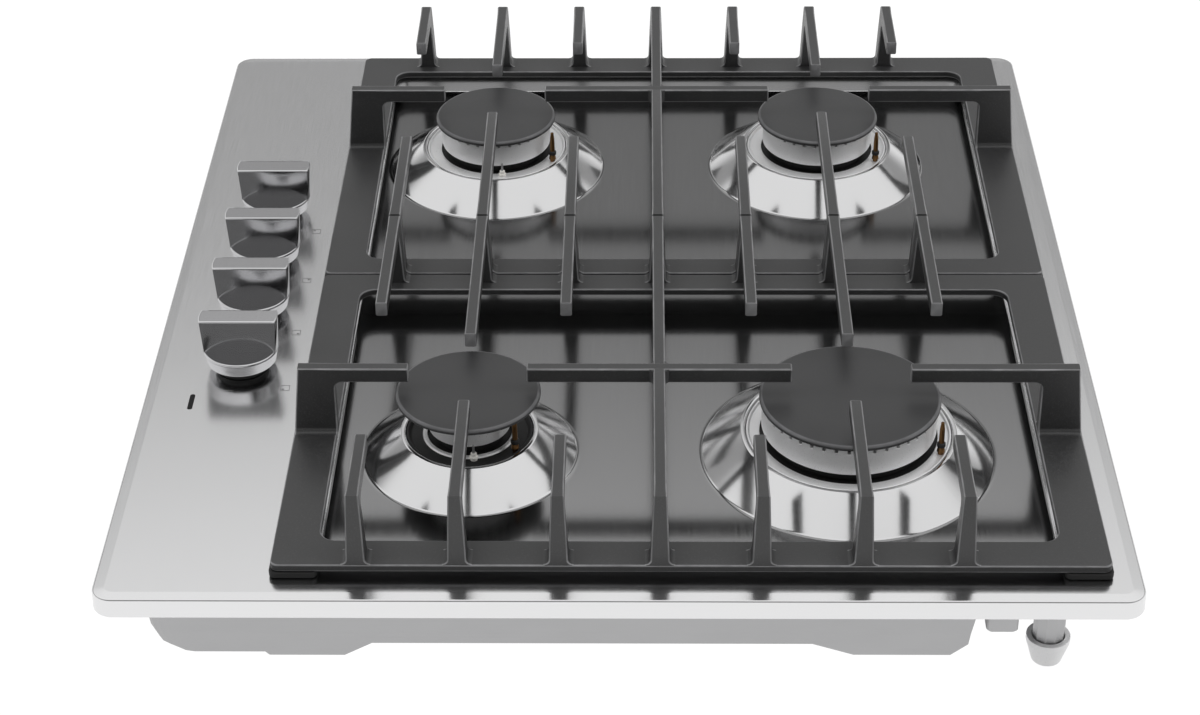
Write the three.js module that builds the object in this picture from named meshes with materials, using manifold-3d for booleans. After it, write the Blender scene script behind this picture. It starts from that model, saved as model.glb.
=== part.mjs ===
// A built-in gas hob with four burners and front controls, in millimetres.
// +X is the user's right, -Y the user's front and +Z up. The origin is the middle of the hob in plan,
// at the height of the worktop that the plate's rim rests on.
import * as THREE from 'three';
import { mergeVertices } from 'three/addons/utils/BufferGeometryUtils.js';
import Module from 'manifold-3d';

const wasm = await Module();
wasm.setup();

// ---------- Driving dimensions ----------
const gap = 0.3; // clearance between two pieces that touch
const past = 10; // how far a cutting shape runs past what it cuts

// Top plate, pressed from one sheet
const plateWidth = 582;
const plateDepth = 520;
const plateCorner = 11;
const sheet = 1;
const rimHeight = 11.6;
const edgeStrip = 6.5; // width of the sloping strip round the edge
const edgeDrop = 0.4; // how far that strip falls
const edgeRound = 1.2;
const hemWidth = 9;
const recessDepth = 7.5;
const recessRun = 6; // how far the recess wall slopes in
const recessUnderFrame = 7.5; // how far the recess reaches in under the grates' frames
const recessCorner = 16;
const coneRise = 8; // top of each burner ring above the plate
const coneRun = 21; // how far each cone spreads from its ring to its base
const coneToe = 0.8; // height of the cone's rounded foot
const coneToeRun = 2; // how far that foot reaches out over the recess floor
const ringRound = 0.9; // width of the rounding at the cone's top
const ringRoundDrop = 0.7;
const lipDepth = 6; // turned-down lip inside each ring
const lipInset = 2.5; // from the ring's radius to the hole's

// Cooking area
const controlStrip = 88; // from the plate's front edge to the grates
const grateSetback = 16; // from the plate's rear edge to the grates
const grateSideSetback = 17.4; // from each side of the plate to the grates
const frontSpace = 42.6; // from the grates' front edge to the first finger
const rearSpace = 72.5; // from the last finger to the grates' rear edge
const burnerSide = 118.1; // from a grate's outer edge to its burners
const burnerPitches = 2; // the burners stand this many finger pitches from the middle

// Grates
const grateSplit = 1.5; // between the two grates
const frameLift = 4.2; // underside of the frame above the plate
const frameThickness = 4.2;
const frameOuterBar = 20.2;
const frameInnerBar = 16.3;
const frameFrontBar = 22.7;
const frameBackBar = 23.5;
const frameCorner = 4;
const windowCorner = 9;
const frameChamfer = 0.9;
const grateHeight = 47.8; // top of the fingers above the plate
const fingerWidth = 6.3;
const fingerDepth = 8.5;
const fingerChamfer = 0.9;
const tipClear = 31; // long tips and arms from the burner's centre
const shortTipClear = 61.5;
const legDepth = 9;
const legLean = 4;
const legFillet = 4;
const legWidth = 9.5; // width of a leg where it meets the fillets at its foot
const postDepth = 19;
const postLean = 4.1;
const postWidth = 8;
const rootFillet = 2.8; // round the foot of a leg, on the frame
const crossGusset = 4;
const footLength = 24; // of an outer foot, from the front or rear edge
const innerFootLength = 15;
const footWidth = 14;
const footOverhang = 0.8; // how far a foot stands out past the frame
const footRound = 3;

// Burners: radii of crown, cap and ring, the cap's top above the plate, and where the thermocouple stands
const auxiliary = { crownRadius: 21.7, capRadius: 38.2, ringRadius: 36.3, capTop: 33, probeAngle: 55 };
const semiRapid = { crownRadius: 33.7, capRadius: 37, ringRadius: 46, capTop: 29.5, probeAngle: 63 };
const rapid = { crownRadius: 46.2, capRadius: 47.7, ringRadius: 57, capTop: 30, probeAngle: 67 };
const capThickness = 3;
const capRound = 1.1;
const capSpigot = 3; // depth of the ring that centres the cap
const crownSeat = 4.7; // seat of the crown above the plate
const bandBottom = 11; // lower edge of the crown's band above the plate
const crownNeckInset = 4;
const crownWall = 3.5;
const crownRecess = 5;
const spigotRadius = 9.3;
const spigotBore = 6.5;
const spigotDepth = 8;
const portWidth = 2.4;
const portDepth = 2.2;
const portsPerCrown = 12;
const dishRise = 2.7; // outer edge of the body's dish above the crown's seat
const dishEdge = 1; // flat edge of the dish
const dishInnerRise = 1.2; // its inner edge above the seat
const dishClear = 0.6; // from the crown's radius to the dish
const flangeThickness = 2;
const flangeGrip = 4.5; // how far the flange reaches out under the lip
const stemRadius = 16;
const probeInset = 6; // thermocouple from the ring's radius
const thermocoupleRadius = 1.5;
const thermocoupleTop = 26;
const sparkAngle = 8;
const sparkClear = 3.2; // middle of the spark plug outside the crown's radius
const sparkRadius = 1.9;
const sparkTop = 14.5;
const electrodeRadius = 0.7;
const electrodeHeight = 2;
const pinCollar = 0.9; // how far a pin's collar stands out
const pinCollarHeight = 2;
const pinTail = 9; // length of a pin below the crown's seat

// Controls
const knobPitch = 55.9;
const knobSetback = 50.4; // from the plate's front edge
const knobRadius = 20.9;
const knobLift = 5.2; // underside of the knob's skirt above the plate
const knobDisc = 8.2;
const knobChamfer = 1.1;
const bladeThickness = 12.7;
const bladeTop = 32.9;
const bladeReach = 21.8; // radius of the grip's ends at the top
const bladeChamfer = 0.8;
const knobHub = 6.6;
const knobPush = 3.2;
const sealRadius = 14.5;
const sealBore = 7.6;
const sealHeight = 4.9;
const spindleRadius = 3.9;
const spindleFlat = 1.1;
const spindleInKnob = 13; // length of the spindle inside the knob
const spindleInPlug = 5;
const plateHoleRadius = 6;
const plugRadius = 6;
const plugFloor = 3;
const tapHalfWidth = 11;
const tapHalfDepth = 12;
const tapNeckHeight = 9;
const tapNeckRadius = 9.5;

// Gas ways
const railRadius = 8.2;
const railDrop = 24; // middle of the rail below the worktop
const railEnd = 22; // rail beyond the outer tap
const railRise = 15; // how far the rail climbs on its way back
const railClimbFrom = 48; // the climb starts this far behind the taps
const railClear = 1.5;
const railElbow = 12;
const inletBehind = 37.5; // middle of the inlet behind the tray's notch
const pipeRadius = 3.2;
const pipeDrop = 8;
const pipeBend = 18;
const nutRadius = 11.2;
const nutFoot = 7.6;
const nutShoulder = 3; // straight part of the nut
const nutTop = 35.5; // below the worktop
const nutBottom = 50.8;
const nutBore = 5;
const nutGrip = 10; // how far the rail reaches into the nut

// Tray under the plate
const traySideSetback = 17; // from each side of the plate
const trayFrontSetback = 20;
const trayBackSetback = 22;
const trayWall = 1.2;
const trayDraft = 5; // how far the side walls lean in
const trayFoot = 3; // how far the rounded bottom edge goes in further
const frontDraft = 2; // how far the front wall leans back above its rounding
const frontFootRun = 11.5; // how far the rounded bottom edge goes back in front
const trayCorner = 12;
const frontChamferRun = 3.5; // the lower front wall slopes back this far
const frontChamferDrop = 27; // below the worktop
const trayFloor = 33.4; // below the worktop
const frontPadDrop = 39.2;
const frontStepDrop = 42.8;
const backPadDrop = 40.4;
const frontPadLength = 61; // from the tray's front wall
const stepLength = 34;
const stepRun = 3.6;
const padRun = 17; // slope from the step up to the floor
const backPadLength = 118.9;
const backPadRun = 21;
const notchWidth = 80;
const notchDepth = 57;
const notchDraft = 13;

// Electrics
const unitWidth = 46;
const unitLength = 62;
const unitHeight = 17;
const unitCorner = 4;
const blockWidth = 11.5;
const blockClear = 1.2; // between the block and the gas rail
const blockLength = 16;
const blockFromNotch = 2.6;
const blockDrop = 18.3; // underside below the worktop
const blockCorner = 3;
const blockChamfer = 1.5; // along its lower edge

// Facets
const roundSteps = 24;
const pinSteps = 8;
const cornerSteps = 4;

// ---------- Places worked out from the sizes ----------
const plateTop = rimHeight;
const plateUnder = plateTop - sheet;
const recessTop = plateTop - recessDepth;
const ringTop = plateTop + coneRise;
const lipBottom = ringTop - lipDepth;
const knobY = knobSetback - plateDepth / 2;
const grateReach = plateWidth / 2 - grateSideSetback;
const grateFrontY = controlStrip - plateDepth / 2;
const grateBackY = plateDepth / 2 - grateSetback;
const fingerPitch = (grateBackY - grateFrontY - frontSpace - rearSpace) / 6;
const cookCentreY = grateFrontY + frontSpace + 3 * fingerPitch;
const burnerX = grateReach - burnerSide;
const frameBottom = plateTop + frameLift;
const frameTop = frameBottom + frameThickness;
const grateTop = plateTop + grateHeight;
const grateInner = grateSplit / 2;
const burnerOffset = burnerPitches * fingerPitch;
const seatZ = plateTop + crownSeat;
const trayTop = plateUnder - gap;
const trayFloorTop = trayWall - trayFloor;
const trayHalfWidth = plateWidth / 2 - traySideSetback;
const trayFront = plateDepth / 2 - trayFrontSetback;
const trayBack = plateDepth / 2 - trayBackSetback;
const notchY = trayBack - notchDepth;
const notchX = trayHalfWidth - notchWidth;
const railX = trayHalfWidth - trayDraft - trayWall - railClear - railRadius;
const inletY = notchY + inletBehind;
const railTop = railRadius - railDrop;

// ---------- Materials ----------
function paint(colour, roughness, metalness) {
  return new THREE.MeshStandardMaterial({ color: colour, roughness, metalness });
}
const stainless = () => paint(0xb9babc, 0.3, 1);
const castIron = () => paint(0x3b3b3c, 0.75, 0.1);
const enamel = () => paint(0x414142, 0.7, 0.1);
const aluminium = () => paint(0xa9aaac, 0.4, 1);
const knobMetal = () => paint(0xc4c5c7, 0.2, 1);
const brass = () => paint(0x8a6236, 0.35, 1);
const steel = () => paint(0x8f9092, 0.45, 1);
const galvanised = () => paint(0x9c9d9f, 0.55, 0.6);
const rubber = () => paint(0x161616, 0.7, 0);
const ceramic = () => paint(0xe8e6df, 0.4, 0);
const plastic = () => paint(0xb0b1b3, 0.6, 0);

// ---------- Solids ----------

// One closed mesh with shared corners, no flat triangles and its faces pointing out.
function weld(geometry) {
  geometry.deleteAttribute('normal');
  geometry.deleteAttribute('uv');
  const merged = mergeVertices(geometry, 1e-4);
  const position = merged.getAttribute('position');
  const corner = (i) => new THREE.Vector3().fromBufferAttribute(position, i);
  const kept = [];
  let volume = 0;
  for (let i = 0; i < merged.index.count; i += 3) {
    const [a, b, c] = [0, 1, 2].map((k) => merged.index.getX(i + k));
    if (a === b || b === c || c === a) continue;
    kept.push(a, b, c);
    volume += corner(a).dot(corner(b).cross(corner(c)));
  }
  if (volume < 0) kept.reverse();
  merged.setIndex(kept);
  return merged;
}

function toSolid(geometry) {
  const welded = weld(geometry);
  return new wasm.Manifold(new wasm.Mesh({
    numProp: 3,
    vertProperties: new Float32Array(welded.getAttribute('position').array),
    triVerts: new Uint32Array(welded.index.array),
  }));
}

function toGeometry(solid) {
  const mesh = solid.getMesh();
  const geometry = new THREE.BufferGeometry();
  geometry.setAttribute('position', new THREE.BufferAttribute(new Float32Array(mesh.vertProperties), 3));
  geometry.setIndex(new THREE.BufferAttribute(new Uint32Array(mesh.triVerts), 1));
  return geometry;
}

function joined(geometries) {
  return geometries.map(toSolid).reduce((whole, piece) => whole.add(piece));
}

function cut(solid, geometries) {
  return geometries.map(toSolid).reduce((rest, piece) => rest.subtract(piece), solid);
}

// Corners of a rectangle with rounded corners, anticlockwise.
function outline(x0, y0, x1, y1, radius) {
  const centres = [[x1 - radius, y1 - radius], [x0 + radius, y1 - radius],
    [x0 + radius, y0 + radius], [x1 - radius, y0 + radius]];
  const points = [];
  centres.forEach(([x, y], quarter) => {
    for (let step = 0; step <= cornerSteps; step += 1) {
      const angle = (quarter + step / cornerSteps) * Math.PI / 2;
      points.push(new THREE.Vector2(x + radius * Math.cos(angle), y + radius * Math.sin(angle)));
    }
  });
  return points;
}

// A solid whose plan outline changes with height: levels are [height, outline] pairs.
function stack(levels) {
  const count = levels[0][1].length;
  const position = levels.flatMap(([z, points]) => points.flatMap((p) => [p.x, p.y, z]));
  const index = [];
  for (let level = 0; level < levels.length - 1; level += 1) {
    for (let i = 0; i < count; i += 1) {
      const low = level * count;
      const next = (i + 1) % count;
      index.push(low + i, low + next, low + count + next, low + i, low + count + next, low + count + i);
    }
  }
  const top = (levels.length - 1) * count;
  THREE.ShapeUtils.triangulateShape(levels[0][1], []).forEach(([a, b, c]) => index.push(a, c, b));
  THREE.ShapeUtils.triangulateShape(levels[levels.length - 1][1], []).forEach(([a, b, c]) => {
    index.push(top + a, top + b, top + c);
  });
  const geometry = new THREE.BufferGeometry();
  geometry.setAttribute('position', new THREE.Float32BufferAttribute(position, 3));
  geometry.setIndex(index);
  return geometry;
}

// A profile of [radius, height] pairs turned round the Z axis.
function turned(profile, steps = roundSteps) {
  const points = profile.map(([r, z]) => new THREE.Vector2(r, z));
  return new THREE.LatheGeometry(points, steps).rotateX(Math.PI / 2);
}

// A closed ring profile: the first point is repeated at the end.
function turnedRing(profile, steps = roundSteps) {
  return turned([...profile, profile[0]], steps);
}

function cylinder(radius, z0, z1, steps = roundSteps) {
  return turned([[0, z0], [radius, z0], [radius, z1], [0, z1]], steps);
}

function box(x0, y0, z0, x1, y1, z1) {
  const geometry = new THREE.BoxGeometry(x1 - x0, y1 - y0, z1 - z0);
  return geometry.translate((x0 + x1) / 2, (y0 + y1) / 2, (z0 + z1) / 2);
}

// A prism: its section is [y, z] pairs and it runs along X from x0 to x1.
function prismX(section, x0, x1) {
  const shape = new THREE.Shape(section.map(([y, z]) => new THREE.Vector2(y, z)));
  const geometry = new THREE.ExtrudeGeometry(shape, { depth: x1 - x0, bevelEnabled: false });
  return geometry.rotateX(Math.PI / 2).rotateZ(Math.PI / 2).translate(x0, 0, 0);
}

// A prism: its section is [x, z] pairs and it runs along Y from y0 to y1.
function prismY(section, y0, y1) {
  const shape = new THREE.Shape(section.map(([x, z]) => new THREE.Vector2(x, z)));
  const geometry = new THREE.ExtrudeGeometry(shape, { depth: y1 - y0, bevelEnabled: false });
  return geometry.rotateX(Math.PI / 2).translate(0, y1, 0);
}

// A bent tube: straight runs between the corners, each corner rounded to its radius.
class Route extends THREE.Curve {
  constructor(corners, radius) {
    super();
    this.points = [corners[0]];
    for (let i = 1; i < corners.length - 1; i += 1) {
      const before = corners[i - 1].clone().sub(corners[i]).setLength(radius).add(corners[i]);
      const after = corners[i + 1].clone().sub(corners[i]).setLength(radius).add(corners[i]);
      const bend = new THREE.QuadraticBezierCurve3(before, corners[i], after);
      this.points.push(...bend.getPoints(cornerSteps));
    }
    this.points.push(corners[corners.length - 1]);
  }

  getPoint(t) {
    const place = Math.min(Math.max(t, 0), 1) * (this.points.length - 1);
    const from = Math.min(Math.floor(place), this.points.length - 2);
    return this.points[from].clone().lerp(this.points[from + 1], place - from);
  }

  getUtoTmapping(u) {
    return u;
  }
}

function tube(corners, radius, bend, sides) {
  const route = new Route(corners.map(([x, y, z]) => new THREE.Vector3(x, y, z)), bend);
  const ring = [];
  for (let side = 0; side < sides; side += 1) {
    const angle = side / sides * Math.PI * 2;
    ring.push(new THREE.Vector2(radius * Math.cos(angle), radius * Math.sin(angle)));
  }
  const steps = route.points.length - 1;
  return new THREE.ExtrudeGeometry(new THREE.Shape(ring), { steps, extrudePath: route });
}

function mirroredX(geometry) {
  return weld(geometry.clone().scale(-1, 1, 1));
}

function add(parent, name, geometry, material) {
  const mesh = new THREE.Mesh(weld(geometry), material);
  mesh.name = name;
  parent.add(mesh);
  return mesh;
}

const group = new THREE.Group();

// ---------- Burner places ----------
const burners = [
  { name: 'front_left', side: -1, row: -1, size: semiRapid, knobPlace: -1.5 },
  { name: 'rear_left', side: -1, row: 1, size: semiRapid, knobPlace: -0.5 },
  { name: 'rear_right', side: 1, row: 1, size: rapid, knobPlace: 0.5 },
  { name: 'front_right', side: 1, row: -1, size: auxiliary, knobPlace: 1.5 },
].map((burner) => ({
  ...burner,
  x: burner.side * burnerX,
  y: cookCentreY + burner.row * burnerOffset,
  knobX: burner.knobPlace * knobPitch,
}));

// ---------- Top plate ----------
function plateOutline(inset) {
  const [x, y] = [plateWidth / 2 - inset, plateDepth / 2 - inset];
  return outline(-x, -y, x, y, Math.max(plateCorner - inset, 1));
}

function recessOutline(inset) {
  const x = grateReach - frameOuterBar + recessUnderFrame - inset;
  const y0 = grateFrontY + frameFrontBar - recessUnderFrame + inset;
  const y1 = grateBackY - frameBackBar + recessUnderFrame - inset;
  return outline(-x, y0, x, y1, Math.max(recessCorner - inset, 1));
}

// The cone's outside, up from inside the recess floor to its rounded ring.
function coneOutside({ ringRadius }) {
  const foot = ringRadius + coneRun;
  return turned([
    [0, recessTop - sheet / 2],
    [foot + coneToeRun, recessTop - sheet / 2],
    [foot + coneToeRun, recessTop + sheet / 20],
    [foot, recessTop + coneToe],
    [ringRadius + ringRound, ringTop - ringRoundDrop],
    [ringRadius - ringRound / 2, ringTop],
    [0, ringTop],
  ]);
}

// The hollow under the cone, one sheet inside it, down to the lip's lower edge.
function coneHollow({ ringRadius }) {
  const foot = ringRadius + coneRun;
  const lipOutside = ringRadius - lipInset + sheet;
  return turned([
    [0, recessTop - 2 * sheet],
    [foot, recessTop - 2 * sheet],
    [foot - sheet / 2, recessTop - sheet / 4],
    [ringRadius, ringTop - 1.2 * sheet],
    [lipOutside, ringTop - sheet],
    [lipOutside, lipBottom],
    [0, lipBottom],
  ]);
}

function topPlate() {
  const shoulder = plateTop - edgeDrop;
  const outside = stack([
    [0, plateOutline(edgeRound)],
    [edgeRound, plateOutline(0)],
    [shoulder - edgeRound, plateOutline(0)],
    [shoulder, plateOutline(edgeRound)],
    [plateTop, plateOutline(edgeStrip)],
  ]);
  const inside = stack([
    [-sheet, plateOutline(hemWidth)],
    [sheet, plateOutline(hemWidth)],
    [sheet + edgeRound, plateOutline(sheet)],
    [shoulder - edgeRound - sheet, plateOutline(sheet)],
    [plateUnder, plateOutline(edgeStrip + sheet)],
  ]);
  const tub = stack([
    [recessTop - sheet, recessOutline(recessRun - sheet / 2)],
    [plateUnder + sheet / 2, recessOutline(-sheet)],
  ]);
  const basin = stack([
    [recessTop, recessOutline(recessRun)],
    [plateTop, recessOutline(0)],
    [plateTop + sheet, recessOutline(0)],
  ]);
  let plate = cut(toSolid(outside), [inside]).add(toSolid(tub));
  plate = cut(plate, [basin]);
  burners.forEach(({ x, y, size }) => {
    const hole = cylinder(size.ringRadius - lipInset, lipBottom - sheet, ringTop + sheet);
    plate = plate.add(toSolid(coneOutside(size).translate(x, y, 0)));
    plate = cut(plate, [coneHollow(size).translate(x, y, 0), hole.translate(x, y, 0)]);
  });
  const knobHoles = burners.map(({ knobX }) => (
    cylinder(plateHoleRadius, plateUnder - sheet, plateTop + sheet, 16).translate(knobX, knobY, 0)
  ));
  return toGeometry(cut(plate, knobHoles));
}
add(group, 'top_plate', topPlate(), stainless());

// ---------- Grates ----------

// Side view of a finger or arm: u runs inwards from the frame's outer edge and v is the height.
function legProfile(length, lean, depth) {
  const under = grateTop - fingerDepth;
  const inner = lean + depth;
  const profile = [
    [0, frameBottom + frameChamfer],
    [0, frameTop - frameChamfer],
    [lean, grateTop - fingerChamfer],
    [lean + fingerChamfer, grateTop],
    [length - fingerChamfer / 2, grateTop],
    [length, grateTop - fingerChamfer / 2],
    [length, under],
  ];
  for (let step = 0; step <= 2; step += 1) {
    const angle = step / 2 * Math.PI / 2;
    const [across, up] = [legFillet * Math.sin(angle), legFillet * Math.cos(angle)];
    profile.push([inner + legFillet - across, under - legFillet + up]);
  }
  profile.push([inner, frameBottom + frameChamfer]);
  return profile;
}

// End view of a finger: chamfered on top, tapered down its leg, with fillets where that meets the frame.
function fingerSection(width, baseWidth) {
  const [half, base] = [width / 2, baseWidth / 2];
  const right = [
    [base + rootFillet, frameBottom + frameChamfer],
    [base + rootFillet, frameTop],
    [base + 0.3 * rootFillet, frameTop + 0.3 * rootFillet],
    [base, frameTop + rootFillet],
    [half, grateTop - fingerDepth],
    [half, grateTop - fingerChamfer],
    [half - fingerChamfer, grateTop],
  ];
  const left = right.map(([y, z]) => [-y, z]).reverse();
  return [...right, ...left];
}

// A finger along X, standing on the frame's outer edge at x = 0 and reaching in to its tip.
function finger(length, lean, depth, baseWidth) {
  const reach = baseWidth / 2 + rootFillet + 1;
  const side = toSolid(prismY(legProfile(length, lean, depth), -reach, reach));
  return side.intersect(toSolid(prismX(fingerSection(fingerWidth, baseWidth), -1, length + 1)));
}

// A plain bar along X with the fingers' section.
function bar(length) {
  const [half, under] = [fingerWidth / 2, grateTop - fingerDepth];
  const section = [[half, under], [half, grateTop - fingerChamfer], [half - fingerChamfer, grateTop],
    [fingerChamfer - half, grateTop], [-half, grateTop - fingerChamfer], [-half, under]];
  return toSolid(prismX(section, 0, length));
}

function turnedTo(solid, degrees, x, y) {
  return toSolid(toGeometry(solid).rotateZ(THREE.MathUtils.degToRad(degrees)).translate(x, y, 0));
}

function grateFrame() {
  const plan = (inset) => outline(grateInner + inset, grateFrontY + inset, grateReach - inset,
    grateBackY - inset, frameCorner);
  const opening = (inset) => outline(grateInner + frameInnerBar + inset, grateFrontY + frameFrontBar + inset,
    grateReach - frameOuterBar - inset, grateBackY - frameBackBar - inset, windowCorner);
  const slab = toSolid(stack([
    [frameBottom, plan(frameChamfer)],
    [frameBottom + frameChamfer, plan(0)],
    [frameTop - frameChamfer, plan(0)],
    [frameTop, plan(frameChamfer)],
  ]));
  return cut(slab, [stack([
    [frameBottom - 1, opening(0)],
    [frameTop - frameChamfer, opening(0)],
    [frameTop + frameChamfer, opening(-2 * frameChamfer)],
  ])]);
}

// The right-hand grate: a frame, fingers from both long edges, a spine across and four arms.
function rightGrate() {
  let grate = grateFrame();
  const middle = (grateInner + grateReach) / 2;
  [-3, -2, -1, 0, 1, 2, 3].forEach((place) => {
    const y = cookCentreY + place * fingerPitch;
    const clear = Math.abs(place) === burnerPitches ? tipClear : shortTipClear;
    const innerTip = place === 0 ? middle + 1 : burnerX - clear;
    const outerTip = place === 0 ? middle - 1 : burnerX + clear;
    const inner = finger(innerTip - grateInner, 0, legDepth, legWidth);
    const outer = finger(grateReach - outerTip, legLean, legDepth, legWidth);
    grate = grate.add(turnedTo(inner, 0, grateInner, y)).add(turnedTo(outer, 180, grateReach, y));
  });
  const armEnd = burnerOffset + tipClear;
  const frontArm = finger(cookCentreY - grateFrontY - armEnd, postLean, postDepth, postWidth);
  const backArm = finger(grateBackY - cookCentreY - armEnd, postLean, postDepth, postWidth);
  grate = grate.add(turnedTo(frontArm, 90, burnerX, grateFrontY));
  grate = grate.add(turnedTo(backArm, -90, burnerX, grateBackY));
  const spineArm = bar(burnerOffset - tipClear);
  grate = grate.add(turnedTo(spineArm, 90, burnerX, cookCentreY));
  grate = grate.add(turnedTo(spineArm, -90, burnerX, cookCentreY));
  const [near, far] = [fingerWidth / 2, fingerWidth / 2 + crossGusset];
  const star = [[far, near], [near, far], [-near, far], [-far, near], [-far, -near], [-near, -far],
    [near, -far], [far, -near]].map(([x, y]) => new THREE.Vector2(burnerX + x, cookCentreY + y));
  const gusset = toSolid(stack([[grateTop - fingerDepth, star], [grateTop - fingerChamfer, star]]));
  return toGeometry(grate.add(gusset));
}

// A rubber foot under one corner of a grate's frame.
function cornerFoot(x0, y0, length) {
  const plan = (inset) => outline(x0 + inset, y0 + inset, x0 + footWidth - inset, y0 + length - inset,
    footRound - inset);
  return stack([
    [plateTop + gap, plan(footRound / 5)],
    [plateTop + gap + footRound / 5, plan(0)],
    [frameBottom - gap, plan(0)],
  ]);
}

const grateShape = rightGrate();
add(group, 'right_grate', grateShape, castIron());
add(group, 'left_grate', mirroredX(grateShape), castIron());
const footColumns = [
  ['inner', grateInner, innerFootLength],
  ['outer', grateReach + footOverhang - footWidth, footLength],
];
footColumns.forEach(([across, x0, length]) => {
  const rows = [['front', grateFrontY - footOverhang], ['rear', grateBackY + footOverhang - length]];
  rows.forEach(([along, y0]) => {
    const foot = cornerFoot(x0, y0, length);
    add(group, `right_grate_foot_${along}_${across}`, foot, rubber());
    add(group, `left_grate_foot_${along}_${across}`, mirroredX(foot), rubber());
  });
});

// ---------- Burners ----------
const dishOutside = ({ ringRadius }) => ringRadius - lipInset - gap;
const dishInside = ({ crownRadius }) => crownRadius + dishClear;
const probePlace = ({ ringRadius }) => ringRadius - probeInset;
const sparkPlace = ({ crownRadius }) => crownRadius + sparkClear;

// Height of the dish at a radius, on its slope from the flat edge down to its inner edge.
function dishHeight(size, radius) {
  const [inside, outside] = [dishInside(size), dishOutside(size) - dishEdge];
  const share = Math.min(Math.max((radius - inside) / (outside - inside), 0), 1);
  return seatZ + dishInnerRise + share * (dishRise - dishInnerRise);
}

function burnerBody(size) {
  const { ringRadius, probeAngle } = size;
  const edge = dishOutside(size);
  const flange = ringRadius - lipInset + flangeGrip;
  const flangeTop = lipBottom - gap;
  const flangeUnder = flangeTop - flangeThickness;
  const bore = spigotRadius + gap;
  const boreFloor = seatZ - spigotDepth - 2 * gap;
  const shape = toSolid(turned([
    [0, trayFloorTop + gap],
    [stemRadius, trayFloorTop + gap],
    [stemRadius, flangeUnder],
    [flange, flangeUnder],
    [flange, flangeTop],
    [edge, flangeTop],
    [edge, seatZ + dishRise],
    [edge - dishEdge, seatZ + dishRise],
    [dishInside(size), seatZ + dishInnerRise],
    [dishInside(size), seatZ],
    [bore, seatZ],
    [bore, boreFloor],
    [0, boreFloor],
  ]));
  const pinHole = (place, angle, radius) => {
    const hole = cylinder(radius + gap, flangeUnder - 1, seatZ + dishRise + 1, pinSteps);
    return hole.translate(place, 0, 0).rotateZ(THREE.MathUtils.degToRad(angle));
  };
  return toGeometry(cut(shape, [
    pinHole(probePlace(size), probeAngle, thermocoupleRadius),
    pinHole(sparkPlace(size), sparkAngle, sparkRadius),
  ]));
}

function burnerCrown({ crownRadius, capTop }) {
  const top = plateTop + capTop - capThickness - gap;
  const neck = crownRadius - crownNeckInset;
  const wall = crownRadius - crownWall;
  const seat = seatZ + gap;
  const ring = toSolid(turnedRing([
    [spigotBore, seat - spigotDepth],
    [spigotRadius, seat - spigotDepth],
    [spigotRadius, seat],
    [neck, seat],
    [neck, plateTop + bandBottom],
    [crownRadius, plateTop + bandBottom],
    [crownRadius, top],
    [wall, top],
    [wall, top - crownRecess],
    [spigotBore, top - crownRecess],
  ]));
  const ports = [];
  for (let port = 0; port < portsPerCrown / 2; port += 1) {
    const [reach, half] = [crownRadius + 1, portWidth / 2];
    const slot = box(-reach, -half, top - portDepth, reach, half, top + 1);
    ports.push(slot.rotateZ((port + 0.5) / portsPerCrown * Math.PI * 2));
  }
  return toGeometry(cut(ring, ports));
}

function burnerCap({ crownRadius, capRadius, capTop }) {
  const top = plateTop + capTop;
  const under = top - capThickness;
  const spigot = crownRadius - crownWall - gap;
  return turned([
    [0, under - capSpigot],
    [spigot, under - capSpigot],
    [spigot, under],
    [capRadius - capRound, under],
    [capRadius, under + capRound],
    [capRadius, top - capRound],
    [capRadius - capRound, top],
    [0, top],
  ], roundSteps);
}

// A pin with a collar that sits on the dish of the burner body; its tip has its own radius.
function pin(size, place, radius, top, tipRadius, tipHeight) {
  const collar = dishHeight(size, place + radius + pinCollar) + gap;
  return turned([
    [0, seatZ - pinTail],
    [radius, seatZ - pinTail],
    [radius, collar],
    [radius + pinCollar, collar],
    [radius + pinCollar, collar + pinCollarHeight],
    [radius, collar + pinCollarHeight],
    [radius, top - tipHeight],
    [tipRadius, top - tipHeight + (radius - tipRadius) / 2],
    [tipRadius, top],
    [0, top],
  ], pinSteps);
}

burners.forEach(({ name, x, y, size }) => {
  const burner = new THREE.Group();
  burner.position.set(x, y, 0);
  add(burner, `${name}_burner_body`, burnerBody(size), aluminium());
  add(burner, `${name}_burner_crown`, burnerCrown(size), aluminium());
  add(burner, `${name}_burner_cap`, burnerCap(size), enamel());
  const standPin = (mesh, place, angle) => {
    const turn = THREE.MathUtils.degToRad(angle);
    mesh.position.set(place * Math.cos(turn), place * Math.sin(turn), 0);
    mesh.rotation.z = turn;
  };
  const [probeAt, sparkAt] = [probePlace(size), sparkPlace(size)];
  const probeTop = plateTop + thermocoupleTop;
  const probe = pin(size, probeAt, thermocoupleRadius, probeTop, thermocoupleRadius * 0.6, 2);
  standPin(add(burner, `${name}_thermocouple`, probe, brass()), probeAt, size.probeAngle);
  const spark = pin(size, sparkAt, sparkRadius, plateTop + sparkTop, electrodeRadius, electrodeHeight);
  standPin(add(burner, `${name}_spark_plug`, spark, ceramic()), sparkAt, sparkAngle);
  group.add(burner);
});

// ---------- Controls ----------
const tapBottom = railTop + gap;
const tapTop = plateUnder - gap;
const tapBlockTop = tapTop - tapNeckHeight;
const plugBottom = tapBottom + plugFloor + gap;
const plugTop = tapTop - gap;
const spindleBottom = plateUnder - 2 * gap - spindleInPlug - knobPush;
const plugBoreFloor = spindleBottom - knobPush - gap;
const sealTop = plateTop + sealHeight;
const discTop = plateTop + knobLift + knobDisc;
const hubBottom = plateTop + knobPush + 2 * gap;
const spindleTop = hubBottom + spindleInKnob;

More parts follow.
